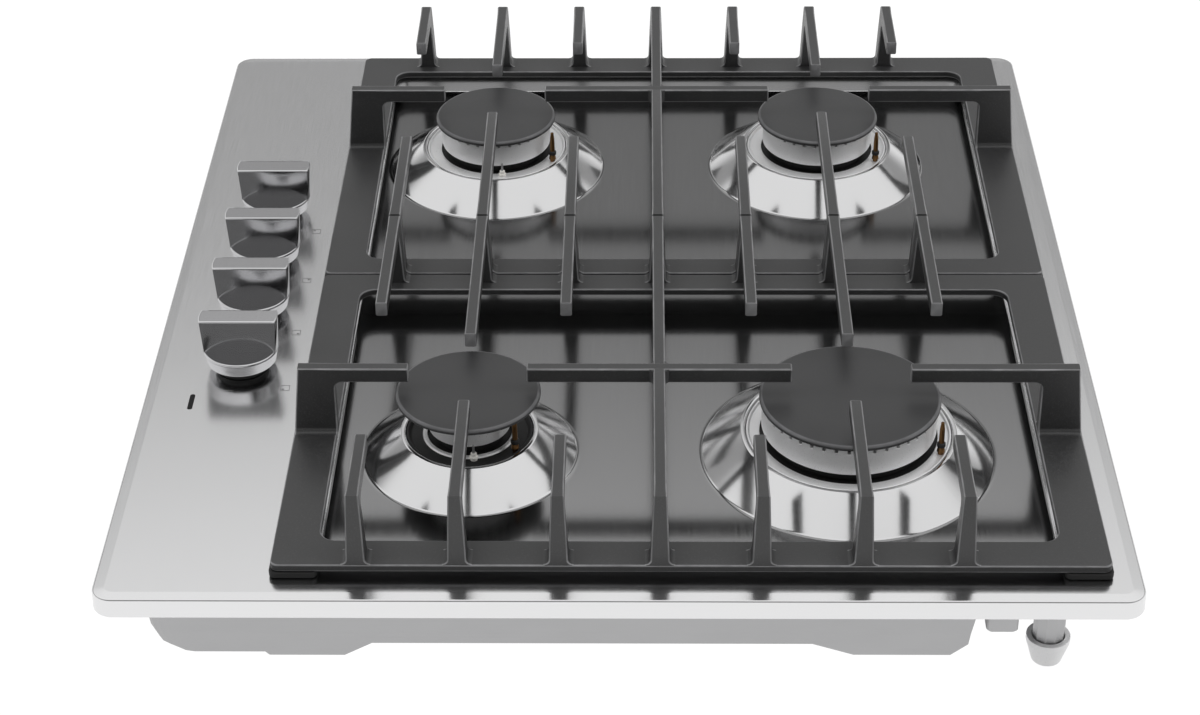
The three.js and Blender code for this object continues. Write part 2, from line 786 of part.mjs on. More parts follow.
function tapBody() {
  const block = box(-tapHalfWidth, -tapHalfDepth, tapBottom, tapHalfWidth, tapHalfDepth, tapBlockTop);
  const neck = cylinder(tapNeckRadius, tapBlockTop - 1, tapTop, 16);
  const bore = cylinder(plugRadius + gap, plugBottom - gap, tapTop + 1, 16);
  return toGeometry(cut(joined([block, neck]), [bore]));
}

function tapPlug() {
  return turned([
    [0, plugBottom],
    [plugRadius, plugBottom],
    [plugRadius, plugTop],
    [spindleRadius + gap, plugTop],
    [spindleRadius + gap, plugBoreFloor],
    [0, plugBoreFloor],
  ], 16);
}

// The spindle has a flat on one side, which the knob's bore repeats.
function flattened(radius, z0, z1, clear) {
  const flat = radius - spindleFlat;
  const side = box(flat, -2 * radius, z0 - 1, 2 * radius, 2 * radius, z1 + 1);
  return cut(toSolid(cylinder(radius + clear, z0, z1, 12)), [side.translate(clear, 0, 0)]);
}

function knob() {
  const skirtInside = sealRadius + gap;
  const ceiling = sealTop + knobPush + gap;
  const disc = turnedRing([
    [0, hubBottom],
    [knobHub, hubBottom],
    [knobHub, ceiling],
    [skirtInside, ceiling],
    [skirtInside, plateTop + knobLift],
    [knobRadius - knobChamfer / 2, plateTop + knobLift],
    [knobRadius, plateTop + knobLift + knobChamfer / 2],
    [knobRadius, discTop - knobChamfer],
    [knobRadius - knobChamfer, discTop],
    [0, discTop],
  ]);
  const half = bladeThickness / 2;
  const top = plateTop + bladeTop;
  const bladeSection = [[-half, discTop - 1], [half, discTop - 1], [half, top - bladeChamfer],
    [half - bladeChamfer, top], [bladeChamfer - half, top], [-half, top - bladeChamfer]];
  const blade = prismY(bladeSection, -bladeReach - 1, bladeReach + 1);
  const barrel = turned([[0, discTop - 1.5], [knobRadius, discTop - 1.5], [bladeReach, top - bladeChamfer],
    [bladeReach - bladeChamfer, top + 0.01], [0, top + 0.01]]);
  const grip = toSolid(blade).intersect(toSolid(barrel));
  const bore = flattened(spindleRadius, hubBottom - 1, spindleTop + gap, gap);
  return toGeometry(toSolid(disc).add(grip).subtract(bore));
}

function knobSeal() {
  return turnedRing([
    [sealBore, plateTop + gap],
    [sealRadius, plateTop + gap],
    [sealRadius, sealTop],
    [sealBore, sealTop],
  ]);
}

burners.forEach(({ name, knobX }) => {
  const control = new THREE.Group();
  control.position.set(knobX, knobY, 0);
  add(control, `${name}_tap_body`, tapBody(), brass());
  add(control, `${name}_tap_plug`, tapPlug(), brass());
  const spindle = flattened(spindleRadius, spindleBottom, spindleTop, 0);
  add(control, `${name}_spindle`, toGeometry(spindle), steel());
  add(control, `${name}_knob`, knob(), knobMetal());
  add(control, `${name}_knob_seal`, knobSeal(), rubber());
  group.add(control);
});

// ---------- Gas ways ----------
burners.forEach(({ name, side, x, y, knobX }) => {
  const start = [knobX, knobY + tapHalfDepth + gap, -pipeDrop];
  const end = [x - side * (stemRadius + gap), y, -pipeDrop];
  const pipe = tube([start, [knobX, y, -pipeDrop], end], pipeRadius, pipeBend, 8);
  add(group, `${name}_gas_pipe`, pipe, aluminium());
});

const railFoot = nutGrip + nutTop;
add(group, 'gas_rail', tube([
  [-1.5 * knobPitch - railEnd, knobY, -railDrop],
  [railX, knobY, -railDrop],
  [railX, knobY + railClimbFrom, -railDrop],
  [railX, cookCentreY, railRise - railDrop],
  [railX, inletY, railRise - railDrop],
  [railX, inletY, -railFoot],
], railRadius, railElbow, 10), steel());

const inletNut = turnedRing([
  [nutBore, -nutBottom],
  [nutFoot, -nutBottom],
  [nutFoot + 1, 1 - nutBottom],
  [nutRadius, -nutTop - nutShoulder],
  [nutRadius, -nutTop],
  [railRadius + gap, -nutTop],
  [railRadius + gap, -railFoot - gap],
  [nutBore, -railFoot - gap],
], 12);
add(group, 'inlet_nut', inletNut.translate(railX, inletY, 0), galvanised());

// ---------- Tray ----------

// The tray's outside, or its inside when every face is set in by one wall.
function trayShape(wall, top) {
  const lowest = Math.max(frontPadDrop, frontStepDrop, backPadDrop);
  const plan = (side, front) => outline(wall + side - trayHalfWidth, wall + front - trayFront,
    trayHalfWidth - wall - side, trayBack - wall - side, trayCorner - wall);
  const shoulder = (frontChamferDrop + lowest) / 2;
  const frontRun = frontDraft + frontChamferRun;
  const block = stack([
    [wall - lowest, plan(trayDraft + trayFoot, frontRun + frontFootRun + trayFoot)],
    [wall - lowest + trayFoot / 2, plan(trayDraft, frontRun + frontFootRun)],
    [wall - shoulder, plan(trayDraft, frontRun)],
    [wall - frontChamferDrop, plan(trayDraft, frontDraft)],
    [0, plan(0, 0)],
    [top, plan(0, 0)],
  ]);
  const low = -lowest - past;
  const side = trayHalfWidth + past;
  const padEnd = frontPadLength - trayFront;
  const stepEnd = padEnd + stepRun + stepLength;
  const floorEnd = trayBack - backPadLength - backPadRun;
  const underside = prismX([
    [-trayFront - past, low],
    [-trayFront - past, wall - frontPadDrop],
    [padEnd, wall - frontPadDrop],
    [padEnd + stepRun, wall - frontStepDrop],
    [stepEnd, wall - frontStepDrop],
    [stepEnd + padRun, wall - trayFloor],
    [floorEnd, wall - trayFloor],
    [floorEnd + backPadRun, wall - backPadDrop],
    [trayBack + past, wall - backPadDrop],
    [trayBack + past, low],
  ], -side, side);
  const notch = prismX([
    [notchY - wall, trayTop + past],
    [notchY - wall, 0],
    [notchY - wall - notchDraft / 3, -trayFloor],
    [notchY - wall - notchDraft, wall - backPadDrop],
    [notchY - wall - notchDraft, low],
    [trayBack + past, low],
    [trayBack + past, trayTop + past],
  ], notchX - wall, side);
  return cut(toSolid(block), [underside, notch]);
}

function bottomTray() {
  const shell = trayShape(0, trayTop).subtract(trayShape(trayWall, trayTop + 1));
  const railHole = cylinder(railRadius + 2 * gap, -notchDraft - past, past, 16).rotateX(-Math.PI / 2);
  const basinRoom = stack([
    [recessTop - sheet - gap, recessOutline(recessRun - sheet / 2 - gap)],
    [plateTop, recessOutline(-sheet - 2 * gap)],
  ]);
  return toGeometry(cut(shell, [basinRoom, railHole.translate(railX, notchY, railRise - railDrop)]));
}
add(group, 'bottom_tray', bottomTray(), galvanised());

// ---------- Electrics ----------
const unitPlan = outline(-unitWidth / 2, -unitLength / 2, unitWidth / 2, unitLength / 2, unitCorner);
const unit = stack([[trayFloorTop + gap, unitPlan], [trayFloorTop + gap + unitHeight, unitPlan]]);
add(group, 'ignition_unit', unit.translate(0, cookCentreY, 0), plastic());

const blockX = railX + railRadius + blockClear;
const blockY = notchY + blockFromNotch;
const block = (inset) => outline(blockX + inset, blockY + inset, blockX + blockWidth - inset,
  blockY + blockLength - inset, blockCorner - inset);
add(group, 'terminal_block', stack([
  [-blockDrop, block(blockChamfer)],
  [blockChamfer - blockDrop, block(0)],
  [plateUnder - gap, block(0)],
]), plastic());

export default group;
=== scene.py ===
"""Looks of a built-in gas hob: a brushed steel plate with two cast grates, four burners and four knobs.

Lengths are in metres, +X is the user's right, -Y the user's front and +Z up. The worktop is at z = 0.
"""

import math

import bmesh
import bpy
import numpy as np
from bpy.props import FloatProperty, FloatVectorProperty, PointerProperty
from mathutils import Matrix, Vector


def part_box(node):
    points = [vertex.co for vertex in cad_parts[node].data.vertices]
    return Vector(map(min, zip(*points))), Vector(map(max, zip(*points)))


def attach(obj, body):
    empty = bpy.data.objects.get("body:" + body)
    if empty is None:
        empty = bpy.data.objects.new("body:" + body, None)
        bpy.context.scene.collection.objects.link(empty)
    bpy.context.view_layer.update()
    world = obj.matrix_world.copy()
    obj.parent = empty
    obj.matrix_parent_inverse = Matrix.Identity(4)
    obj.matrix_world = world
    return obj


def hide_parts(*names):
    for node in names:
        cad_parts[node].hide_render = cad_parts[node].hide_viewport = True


bl_info = {
    "name": "Gas hob",
    "version": (1, 0, 0),
    "blender": (4, 5, 0),
    "location": "View3D > Sidebar > Gas hob",
    "description": "Builds the visible surfaces, finishes and studio of a built-in gas hob",
    "category": "Add Mesh",
}

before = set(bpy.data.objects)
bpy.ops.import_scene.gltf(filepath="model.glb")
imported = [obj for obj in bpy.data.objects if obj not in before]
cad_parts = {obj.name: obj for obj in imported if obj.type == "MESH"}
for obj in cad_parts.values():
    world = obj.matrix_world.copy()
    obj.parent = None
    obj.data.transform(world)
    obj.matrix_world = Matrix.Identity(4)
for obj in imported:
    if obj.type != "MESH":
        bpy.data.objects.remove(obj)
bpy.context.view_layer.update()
MM = 0.001
BURNERS = ("front_left", "rear_left", "rear_right", "front_right")
CORNER_STEPS = 10
HOLD = 0.25 * MM  # from an arc to the points beside it that keep a flat flat
GAP = 0.3 * MM  # clearance between two pieces that touch
AXIS = 0.01 * MM  # from the axis of a turned piece to where its profile starts
HIGHLIGHT_GAIN = 14  # how many times lighter a painted edge highlight is


# ---------- What a user would change ----------

def length(name, description, value):
    """A size in metres whose default is given in millimetres."""
    return FloatProperty(name=name, description=description, default=value * MM, unit="LENGTH", precision=4)


def number(name, description, value, least=0):
    return FloatProperty(name=name, description=description, default=value, min=least)


def colour(name, description, value):
    """A linear colour."""
    return FloatVectorProperty(name=name, description=description, default=value, size=3, subtype="COLOR",
                               min=0, max=1)


class PlateSizes(bpy.types.PropertyGroup):
    sheet: length("Sheet", "Thickness of the pressed sheet", 1)
    corner: length("Corner", "Radius of the plate's corners in plan", 11)
    strip: length("Edge strip", "Width of the sloping strip round the edge", 6.5)
    drop: length("Strip drop", "How far that strip falls", 0.4)
    edge_round: length("Edge rounding", "Radius of the folded edge", 1.2)
    hem: length("Hem", "Width of the hem under the rim", 9)
    recess_depth: length("Recess depth", "Depth of the basin under the grates", 7.5)
    recess_run: length("Recess slope", "How far the basin's wall slopes in", 6)
    recess_corner: length("Recess corner", "Radius of the basin's corners in plan", 16)
    recess_x: length("Recess half width", "From the middle of the hob to the basin's edge", 260.9)
    recess_front: length("Recess front", "Front edge of the basin", -156.8)
    recess_rear: length("Recess rear", "Rear edge of the basin", 228)
    cone_rise: length("Cone rise", "Top of each burner ring above the plate", 8)
    cone_run: length("Cone run", "From each ring out to its cone's foot", 21)
    lip_depth: length("Lip depth", "Depth of the lip turned down inside each ring", 6)
    lip_inset: length("Lip inset", "From the ring's radius to the hole's", 2.5)


class GrateSizes(bpy.types.PropertyGroup):
    outer_bar: length("Outer bar", "Width of the frame's outer bar", 20.2)
    inner_bar: length("Inner bar", "Width of the frame's inner bar", 16.3)
    front_bar: length("Front bar", "Width of the frame's front bar", 22.7)
    rear_bar: length("Rear bar", "Width of the frame's rear bar", 23.5)
    thickness: length("Frame thickness", "Height of the frame's bars", 4.2)
    corner: length("Frame corner", "Outer corner radius of the frame", 4)
    window: length("Window corner", "Inner corner radius of the frame", 9)
    finger_width: length("Finger width", "Width of a finger", 6.3)
    finger_depth: length("Finger depth", "Height of a finger's bar", 8.5)
    pitch: length("Finger pitch", "From one finger to the next", 50.15)
    leg: length("Leg depth", "Depth of a finger's leg", 9)
    lean: length("Leg lean", "How far an outer leg leans in", 4)
    leg_width: length("Leg width", "Width of a leg over the fillets at its foot", 9.5)
    root: length("Root fillet", "Radius of the fillets at a leg's foot", 2.8)
    post: length("Post depth", "Depth of the leg of a front or rear arm", 19)
    post_lean: length("Post lean", "How far that leg leans in", 4.1)
    post_width: length("Post width", "Width of that leg over its fillets", 8)
    fillet: length("Fillet", "Radius under a finger's elbow", 4)
    edge: length("Edge rounding", "Radius of the casting's edges", 0.9)
    tip: length("Tip clearance", "From a long finger's tip to its burner's middle", 31)
    short_tip: length("Short tip clearance", "From a short finger's tip to its burner's middle", 61.5)
    gusset: length("Gusset", "Size of the webs where the spine crosses", 4)


class BurnerSizes(bpy.types.PropertyGroup):
    seat: length("Seat", "Seat of the crown above the plate", 4.7)
    dish_in: length("Dish", "From the crown's radius out to the dish", 0.7)
    dish_rise: length("Dish rise", "The dish above the seat", 1.6)
    dish_edge: length("Dish edge", "Width of the ridge round the dish", 1)
    band: length("Band", "Lower edge of the crown's band above the plate", 11)
    neck: length("Neck inset", "How far the neck lies inside the band", 4)
    cap_thickness: length("Cap thickness", "Thickness of a cap", 3)
    cap_round: length("Cap rounding", "Radius of a cap's upper edge", 1.8)
    port_width: length("Port width", "Width of a flame port", 1.6)
    port_depth: length("Port depth", "Depth of a flame port", 2.5)
    port_pitch: length("Port pitch", "From one flame port to the next", 6.6)


class KnobSizes(bpy.types.PropertyGroup):
    radius: length("Radius", "Radius of a knob's disc", 20.9)
    lift: length("Lift", "Underside of the disc above the plate", 5.2)
    disc: length("Disc", "Thickness of the disc", 8.2)
    taper: length("Disc taper", "How much narrower the disc is at its underside", 1.8)
    blade: length("Blade", "Thickness of the grip", 12.7)
    reach: length("Grip reach", "Radius of the grip's ends at its top", 21.8)
    skirt: length("Skirt", "Inner radius of the disc's hollow underside", 14.8)
    hub: length("Hub", "Radius of the hub round the spindle", 6.6)
    top: length("Top", "Top of the grip above the plate", 32.9)
    edge: length("Edge rounding", "Radius of the grip's edges", 0.7)


class Finishes(bpy.types.PropertyGroup):
    steel: colour("Brushed steel", "Plate and its rim", (0.76, 0.76, 0.765))
    # The basin's floor is painted darker than the plate by this factor, as painted shade from the grates over
    # it
    recess: number("Recess", "How bright the basin's floor is beside the plate", 0.385)
    iron: colour("Cast iron", "Grates", (0.024, 0.024, 0.0245))
    enamel: colour("Enamel", "Burner caps", (0.034, 0.034, 0.035))
    burner: colour("Burner alloy", "Crowns and bodies", (0.9, 0.9, 0.905))
    # The thermocouples' dark collars, and painted shade on the burners' necks and seats and on the small
    # burner's dish under its cap
    dark_and_painted_shade: colour("Dark_and_painted_shade", "Dark necks and seats of the burners", (0.012, 0.012, 0.012))
    knob: colour("Knob metal", "Knobs", (0.68, 0.68, 0.69))
    tray: colour("Galvanised", "Tray and inlet nut", (0.45, 0.45, 0.455))
    rubber: colour("Rubber", "Feet and knob seals", (0.012, 0.012, 0.012))
    brass: colour("Brass", "Thermocouples and taps", (0.25, 0.135, 0.055))
    ceramic: colour("Ceramic", "Spark plugs", (0.8, 0.78, 0.74))
    plastic: colour("Plastic", "Terminal block and ignition unit", (0.36, 0.36, 0.37))
    print_ink: colour("Print", "Marks on the plate", (0.005, 0.005, 0.005))


class Studio(bpy.types.PropertyGroup):
    floor_drop: length("Floor", "Floor below the worktop's height", 420)
    fill: number("Fill", "Strength of the even light", 0.3)
    key: number("Key", "Strength of the lamp overhead", 1.6)
    box_lean: number("Box lean", "Degrees the box leans from the camera", 15)
    box_long: number("Box length", "How many times as long as wide", 1.6, 1)
    box_full: number("Box", "Degrees from its middle at full strength", 35)
    box_edge: number("Box edge", "Degrees from its middle where it ends", 48)
    room: number("Room", "Brightness of the room in reflections", 0.38)
    room_front: number("Room front", "The same right behind the camera", 0.15)
    lens: number("Lens", "Focal length in mm on a 36 mm sensor", 79.2, 1)


SETTINGS = {"hob_plate": PlateSizes, "hob_grate": GrateSizes, "hob_burner": BurnerSizes,
            "hob_knob": KnobSizes, "hob_finish": Finishes, "hob_studio": Studio}


# ---------- Places read from the frame ----------

PLATE_LOW, PLATE_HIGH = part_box("top_plate")
PLATE_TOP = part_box("front_left_knob_seal")[0].z - GAP
GRATE_LOW, GRATE_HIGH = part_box("right_grate")
RINGS = {"front_left": 46 * MM, "rear_left": 46 * MM, "rear_right": 57 * MM, "front_right": 36.3 * MM}


def measured(node):
    """A CAD node's box, its middle, and half its width across X."""
    low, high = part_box(node)
    return low, high, (low + high) / 2, (high.x - low.x) / 2


def middle(node):
    return measured(node)[2]


COOK_Y = (middle("front_left_burner_cap").y + middle("rear_left_burner_cap").y) / 2


# ---------- Surfaces ----------

def mm(*values):
    return [value * MM for value in values]


def grid(points, close_across=False, close_along=False):
    """A surface from an array of rows x columns x 3; each row can close on its first point, and the last
    row on the first. Returns the points as a list and the quads between neighbouring rows and columns."""
    rows, columns = points.shape[:2]
    r = np.arange(rows if close_along else rows - 1)
    c = np.arange(columns if close_across else columns - 1)
    r0, c0 = np.meshgrid(r, c, indexing="ij")
    r1, c1 = (r0 + 1) % rows, (c0 + 1) % columns
    quads = np.stack([r0 * columns + c0, r0 * columns + c1, r1 * columns + c1, r1 * columns + c0], axis=-1)
    return points.reshape(-1, 3), quads.reshape(-1, 4)


def closed_grid(points):
    """A tube-like surface: the rows are closed loops, and the first and last rows are filled."""
    vertices, quads = grid(points, close_across=True)
    columns = points.shape[1]
    first = list(range(columns))
    last = [len(vertices) - columns + i for i in first]
    return vertices, [*quads.tolist(), first[::-1], last]


def piece(name, shells, finish, body, replaces=(), edges=None, smooth_angle=40, weld=1e-6):
    """One mesh object from shells of (points, faces); edges holds one value a point for the painted edge
    highlight.
    """
    vertices, faces, offset = [], [], 0
    for points, quads in shells:
        vertices.append(np.asarray(points, float))
        faces += [[offset + i for i in face] for face in quads]
        offset += len(points)
    mesh = bpy.data.meshes.new(name)
    mesh.from_pydata(np.concatenate(vertices).tolist(), [], faces)
    if edges is not None:
        layer = mesh.attributes.new("edge", "FLOAT", "POINT")
        layer.data.foreach_set("value", np.concatenate(edges).astype(np.float32))
    work = bmesh.new()
    work.from_mesh(mesh)
    bmesh.ops.remove_doubles(work, verts=work.verts, dist=weld)
    bmesh.ops.dissolve_degenerate(work, edges=work.edges, dist=weld)
    bmesh.ops.recalc_face_normals(work, faces=work.faces)
    work.to_mesh(mesh)
    work.free()
    mesh.shade_smooth()
    mesh.set_sharp_from_angle(angle=math.radians(smooth_angle))
    mesh.materials.append(material(finish))
    made = bpy.data.objects.new(name, mesh)
    bpy.context.scene.collection.objects.link(made)
    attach(made, body)
    if replaces:
        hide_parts(*replaces)
    return made


def arc(centre, radius, start, end, steps=CORNER_STEPS):
    """Points of a circular arc in a plane, angles in degrees: centre + radius (cos a, sin a)."""
    angle = np.radians(np.linspace(start, end, steps + 1))
    return np.stack([centre[0] + radius * np.cos(angle), centre[1] + radius * np.sin(angle)], axis=-1)


def rounded_corner(before, at, after, radius, steps):
    """The arc of a radius that is tangent to both sides of a corner, or the corner where there is none."""
    u, v = before - at, after - at
    u, v = u / np.linalg.norm(u), v / np.linalg.norm(v)
    half = math.acos(np.clip(u @ v, -1, 1)) / 2
    if radius == 0 or half > math.radians(89.9):
        return at[None]
    centre = at + (u + v) / np.linalg.norm(u + v) * radius / math.sin(half)
    first, last = at + u * radius / math.tan(half), at + v * radius / math.tan(half)
    start, end = (math.atan2(*(point - centre)[::-1]) for point in (first, last))
    turn = (end - start + math.pi) % (2 * math.pi) - math.pi
    return arc(centre, radius, math.degrees(start), math.degrees(start + turn), steps)


def rounded_profile(corners, radii, steps=4):
    """An open profile through corners, each rounded to its radius. Close to an arc's ends stand two more
    points, so that the flats beside it are shaded flat."""
    corners = [np.array(c, float) for c in corners]
    runs = [rounded_corner(*four, steps) for four in zip(corners, corners[1:], corners[2:], radii)]
    runs = [corners[0][None], *runs, corners[-1][None]]
    out = [runs[0]]
    for here, following in zip(runs, runs[1:]):
        step = following[0] - here[-1]
        distance = np.linalg.norm(step)
        if distance > 3 * HOLD:
            hold = step / distance * HOLD
            out += [(here[-1] + hold)[None]] * (len(here) > 1)
            out += [(following[0] - hold)[None]] * (len(following) > 1)
        out.append(following)
    return np.concatenate(out)


def even_angles(count):
    return np.linspace(0, 2 * math.pi, count, endpoint=False)


def turned(profile, centre, angles):
    """A profile of (radius, height) turned round the Z axis through centre, at the given angles."""
    radius, height = profile[:, 0, None], profile[:, 1, None]
    x, y = centre[0] + radius * np.cos(angles), centre[1] + radius * np.sin(angles)
    return np.stack([x, y, np.broadcast_to(height, x.shape)], axis=-1)


def turned_shell(profile, centre, count):
    """A profile turned at even angles: filled at its ends, or closed along it where they meet."""
    if np.allclose(profile[0], profile[-1]):
        return grid(turned(profile[:-1], centre, even_angles(count)), True, True)
    return closed_grid(turned(profile, centre, even_angles(count)))


def rectangle(x0, y0, x1, y1, radius, stations, steps=CORNER_STEPS):
    """A rounded rectangle, anticlockwise from its lower left. stations gives, for the front, right, rear and
    left side, the places of its points as fractions of the straight part. Two outlines made with the same
    stations have matching points."""
    left, right, front, rear = x0 + radius, x1 - radius, y0 + radius, y1 - radius
    centres = np.array([[right, front], [right, rear], [left, rear], [left, front]])
    out = []
    for side, away in enumerate(([0, -radius], [radius, 0], [0, radius], [-radius, 0])):
        start, end = centres[side - 1] + away, centres[side] + away
        out.append(start + np.asarray(stations[side])[:, None] * (end - start))
        out.append(arc(centres[side], radius, side * 90 - 90, side * 90, steps)[1:-1])
    return np.concatenate(out)


def drawn_in(low, high, inset, radius, stations):
    """The rounded rectangle between two corners, drawn in by an inset."""
    return rectangle(low[0] + inset, low[1] + inset, high[0] - inset, high[1] - inset, radius, stations)


def whole_side(count):
    return [np.linspace(0, 1, count)] * 4


def level(outline, height):
    """An outline in plan placed at one height, or at a height for each point."""
    return np.column_stack([outline, np.broadcast_to(height, len(outline))])


LOOP_ANGLE = np.radians(np.repeat([0, 90, 180, 270], 7) + np.tile([0, 0, 22.5, 45, 67.5, 90, 90], 4))
LOOP_HOLD = np.tile([-1, 0, 0, 0, 0, 0, 1], 4) * HOLD
LOOP_SIDE, LOOP_UP = np.repeat([1, -1, -1, 1], 7), np.repeat([1, 1, -1, -1], 7)
# Where on a loop the painted edge highlight falls: the middle of each corner's arc
LOOP_HIGHLIT = np.tile([0.0, 0, 1, 1, 1, 0, 0], 4)


def bar_loops(half_width, half_height, edge):
    """Loops round rectangular bars, one a row: the places across and up of each corner's arc, of radius edge,
    with a holding point beside each end of it."""
    cos, sin = np.cos(LOOP_ANGLE), np.sin(LOOP_ANGLE)
    across = LOOP_SIDE * (half_width[:, None] - edge) + edge * cos - LOOP_HOLD * sin
    up = LOOP_UP * (half_height[:, None] - edge) + edge * sin + LOOP_HOLD * cos
    return across, up


# ---------- Shader groups ----------

def feed(tree, made, inputs):
    """Gives a node's inputs their values, or links them where the value is another node's socket."""
    for key, value in inputs.items():
        if isinstance(value, bpy.types.NodeSocket):
            tree.links.new(value, made.inputs[key])
        else:
            made.inputs[key].default_value = value


def node(tree, kind, inputs, **settings):
    made = tree.nodes.new(kind)
    for key, value in settings.items():
        setattr(made, key, value)
    feed(tree, made, inputs)
    return made


def maths(tree, operation, first, second):
    return node(tree, "ShaderNodeMath", {0: first, 1: second}, operation=operation).outputs[0]


def noise(tree, vector, scale, detail=2, roughness=0.5):
    inputs = {"Vector": vector, "Scale": scale, "Detail": detail, "Roughness": roughness}
    return node(tree, "ShaderNodeTexNoise", inputs).outputs[0]


def ranged(tree, source, low, high, start=0.3, end=0.7, **settings):
    """A value mapped from start..end to low..high."""
    inputs = {0: source, 1: start, 2: end, 3: low, 4: high}
    return node(tree, "ShaderNodeMapRange", inputs, **settings).outputs[0]


def mixed(tree, factor, low, high):
    """A value that goes from low to high with a factor."""
    return node(tree, "ShaderNodeMix", {0: factor, 2: low, 3: high}).outputs[0]


def shaded(tree, factor, low, high):
    """A colour that goes from low to high with a factor."""
    return node(tree, "ShaderNodeMix", {0: factor, 6: low, 7: high}, data_type="RGBA").outputs[2]


def bumped(tree, height, distance):
    """A bump whose height is measured in metres."""
    return node(tree, "ShaderNodeBump", {"Height": height, "Distance": distance, "Strength": 1}).outputs[0]


def group(name, inputs, outputs):
    """An empty shader node group: its inputs are floats and vectors with their defaults."""
    tree = bpy.data.node_groups.new(name, "ShaderNodeTree")
    for label, value in inputs.items():
        kind = "NodeSocketFloat" if isinstance(value, float) else "NodeSocketVector"
        tree.interface.new_socket(label, in_out="INPUT", socket_type=kind).default_value = value
    for label in outputs:
        tree.interface.new_socket(label, in_out="OUTPUT", socket_type="NodeSocketFloat")
    return tree, tree.nodes.new("NodeGroupInput").outputs, tree.nodes.new("NodeGroupOutput")


def brushed_group():
    """Fine lines: noise whose cells are as long along X, Y and Z as the cell's size says, and a slow cloud
    for the uneven sheen of a rolled sheet."""
    inputs = {"Vector": (0, 0, 0), "Cell": (0.03, 0.0004, 0.0004)}
    tree, given, out = group("Brushed lines", inputs, ["Lines", "Cloud"])
    place = node(tree, "ShaderNodeVectorMath", {0: given["Vector"], 1: given["Cell"]}, operation="DIVIDE")
    feed(tree, out, {"Lines": noise(tree, place.outputs[0], 1, 3), "Cloud": noise(tree, given["Vector"], 7)})
    return tree


def grain_group():
    """Casting grain: a fine even noise for the height, and sparse pale specks where small cells peak."""
    tree, given, out = group("Cast grain", {"Vector": (0, 0, 0), "Grain size": 0.0006}, ["Height", "Specks"])
    fine = noise(tree, given["Vector"], maths(tree, "DIVIDE", 1, given["Grain size"]), 3, 0.6)
    feed(tree, out, {"Height": fine, "Specks": ranged(tree, fine, 0, 1, 0.52, 0.72)})
    return tree


def highlight_group():
    """Painted edge highlight: the mesh's edge value broken up by a noise, so that the highlight comes and
    goes.
    """
    tree, given, out = group("Edge wear", {"Vector": (0, 0, 0), "Amount": 0.5}, ["Mask"])
    edge = node(tree, "ShaderNodeAttribute", {}, attribute_name="edge").outputs["Fac"]
    breakup = ranged(tree, noise(tree, given["Vector"], 90), 0.55, 1)
    feed(tree, out, {"Mask": maths(tree, "MULTIPLY", maths(tree, "MULTIPLY", edge, breakup), given["Amount"])})
    return tree


# ---------- Finishes ----------

GROUPS = {}
MATERIALS = {}


def placed(tree, maker, inputs):
    """The outputs of a shared group, made on first use and fed with object coordinates."""
    if maker not in GROUPS:
        GROUPS[maker] = maker()
    coordinates = tree.nodes.new("ShaderNodeTexCoord").outputs["Object"]
    return node(tree, "ShaderNodeGroup", {"Vector": coordinates, **inputs}, node_tree=GROUPS[maker]).outputs


def times(rgb, factor):
    """A colour made brighter or darker, with its alpha."""
    return (*(min(c * factor, 1) for c in rgb[:3]), 1)


def new_material(name):
    """A material, its node tree and its Principled shader."""
    made = bpy.data.materials.new(name)
    made.use_nodes = True
    return made, made.node_tree, made.node_tree.nodes["Principled BSDF"]


def metal(name, rgb, roughness, cell, spread=0.1, tint=0.03, bump=0.0):
    """Metal with marks as long along X, Y and Z as its cell: they vary the colour by tint, the roughness by
    spread, and the height by bump; a slow cloud varies the colour as well."""
    made, tree, shader = new_material(name)
    lines, cloud = placed(tree, brushed_group, {"Cell": cell})
    both = mixed(tree, 0.4, lines, cloud)
    feed(tree, shader, {
        "Base Color": shaded(tree, both, times(rgb, 1 - tint), times(rgb, 1 + tint)),
        "Roughness": ranged(tree, lines, roughness * (1 - spread), roughness * (1 + spread)),
        "Metallic": 1})
    if bump:
        feed(tree, shader, {"Normal": bumped(tree, lines, bump)})
    return made


def cast_material(name, rgb, roughness, grain, bump, pale, highlight, ior):
    """Matt enamelled iron: grain in the height, pale specks, and edges painted lighter as a highlight."""
    made, tree, shader = new_material(name)
    height, specks = placed(tree, grain_group, {"Grain size": grain})
    highlit = placed(tree, highlight_group, {"Amount": highlight})[0]
    base = shaded(tree, specks, times(rgb, 1), times(rgb, pale))
    feed(tree, shader, {
        "Base Color": shaded(tree, highlit, base, times(rgb, HIGHLIGHT_GAIN)),
        "Roughness": ranged(tree, height, roughness - 0.08, roughness + 0.08),
        "Normal": bumped(tree, height, bump),
        "IOR": ior})
    return made


def moulded(name, rgb, roughness, grain=0.0008, bump=2e-5, metallic=0.0):
    """Plain moulded or coated stuff: a faint grain in the colour, the roughness and the height."""
    made, tree, shader = new_material(name)
    height = placed(tree, grain_group, {"Grain size": grain})[0]
    feed(tree, shader, {
        "Base Color": shaded(tree, height, times(rgb, 0.92), times(rgb, 1.08)),
        "Roughness": ranged(tree, height, roughness - 0.06, roughness + 0.06),
        "Normal": bumped(tree, height, bump),
        "Metallic": metallic})
    return made


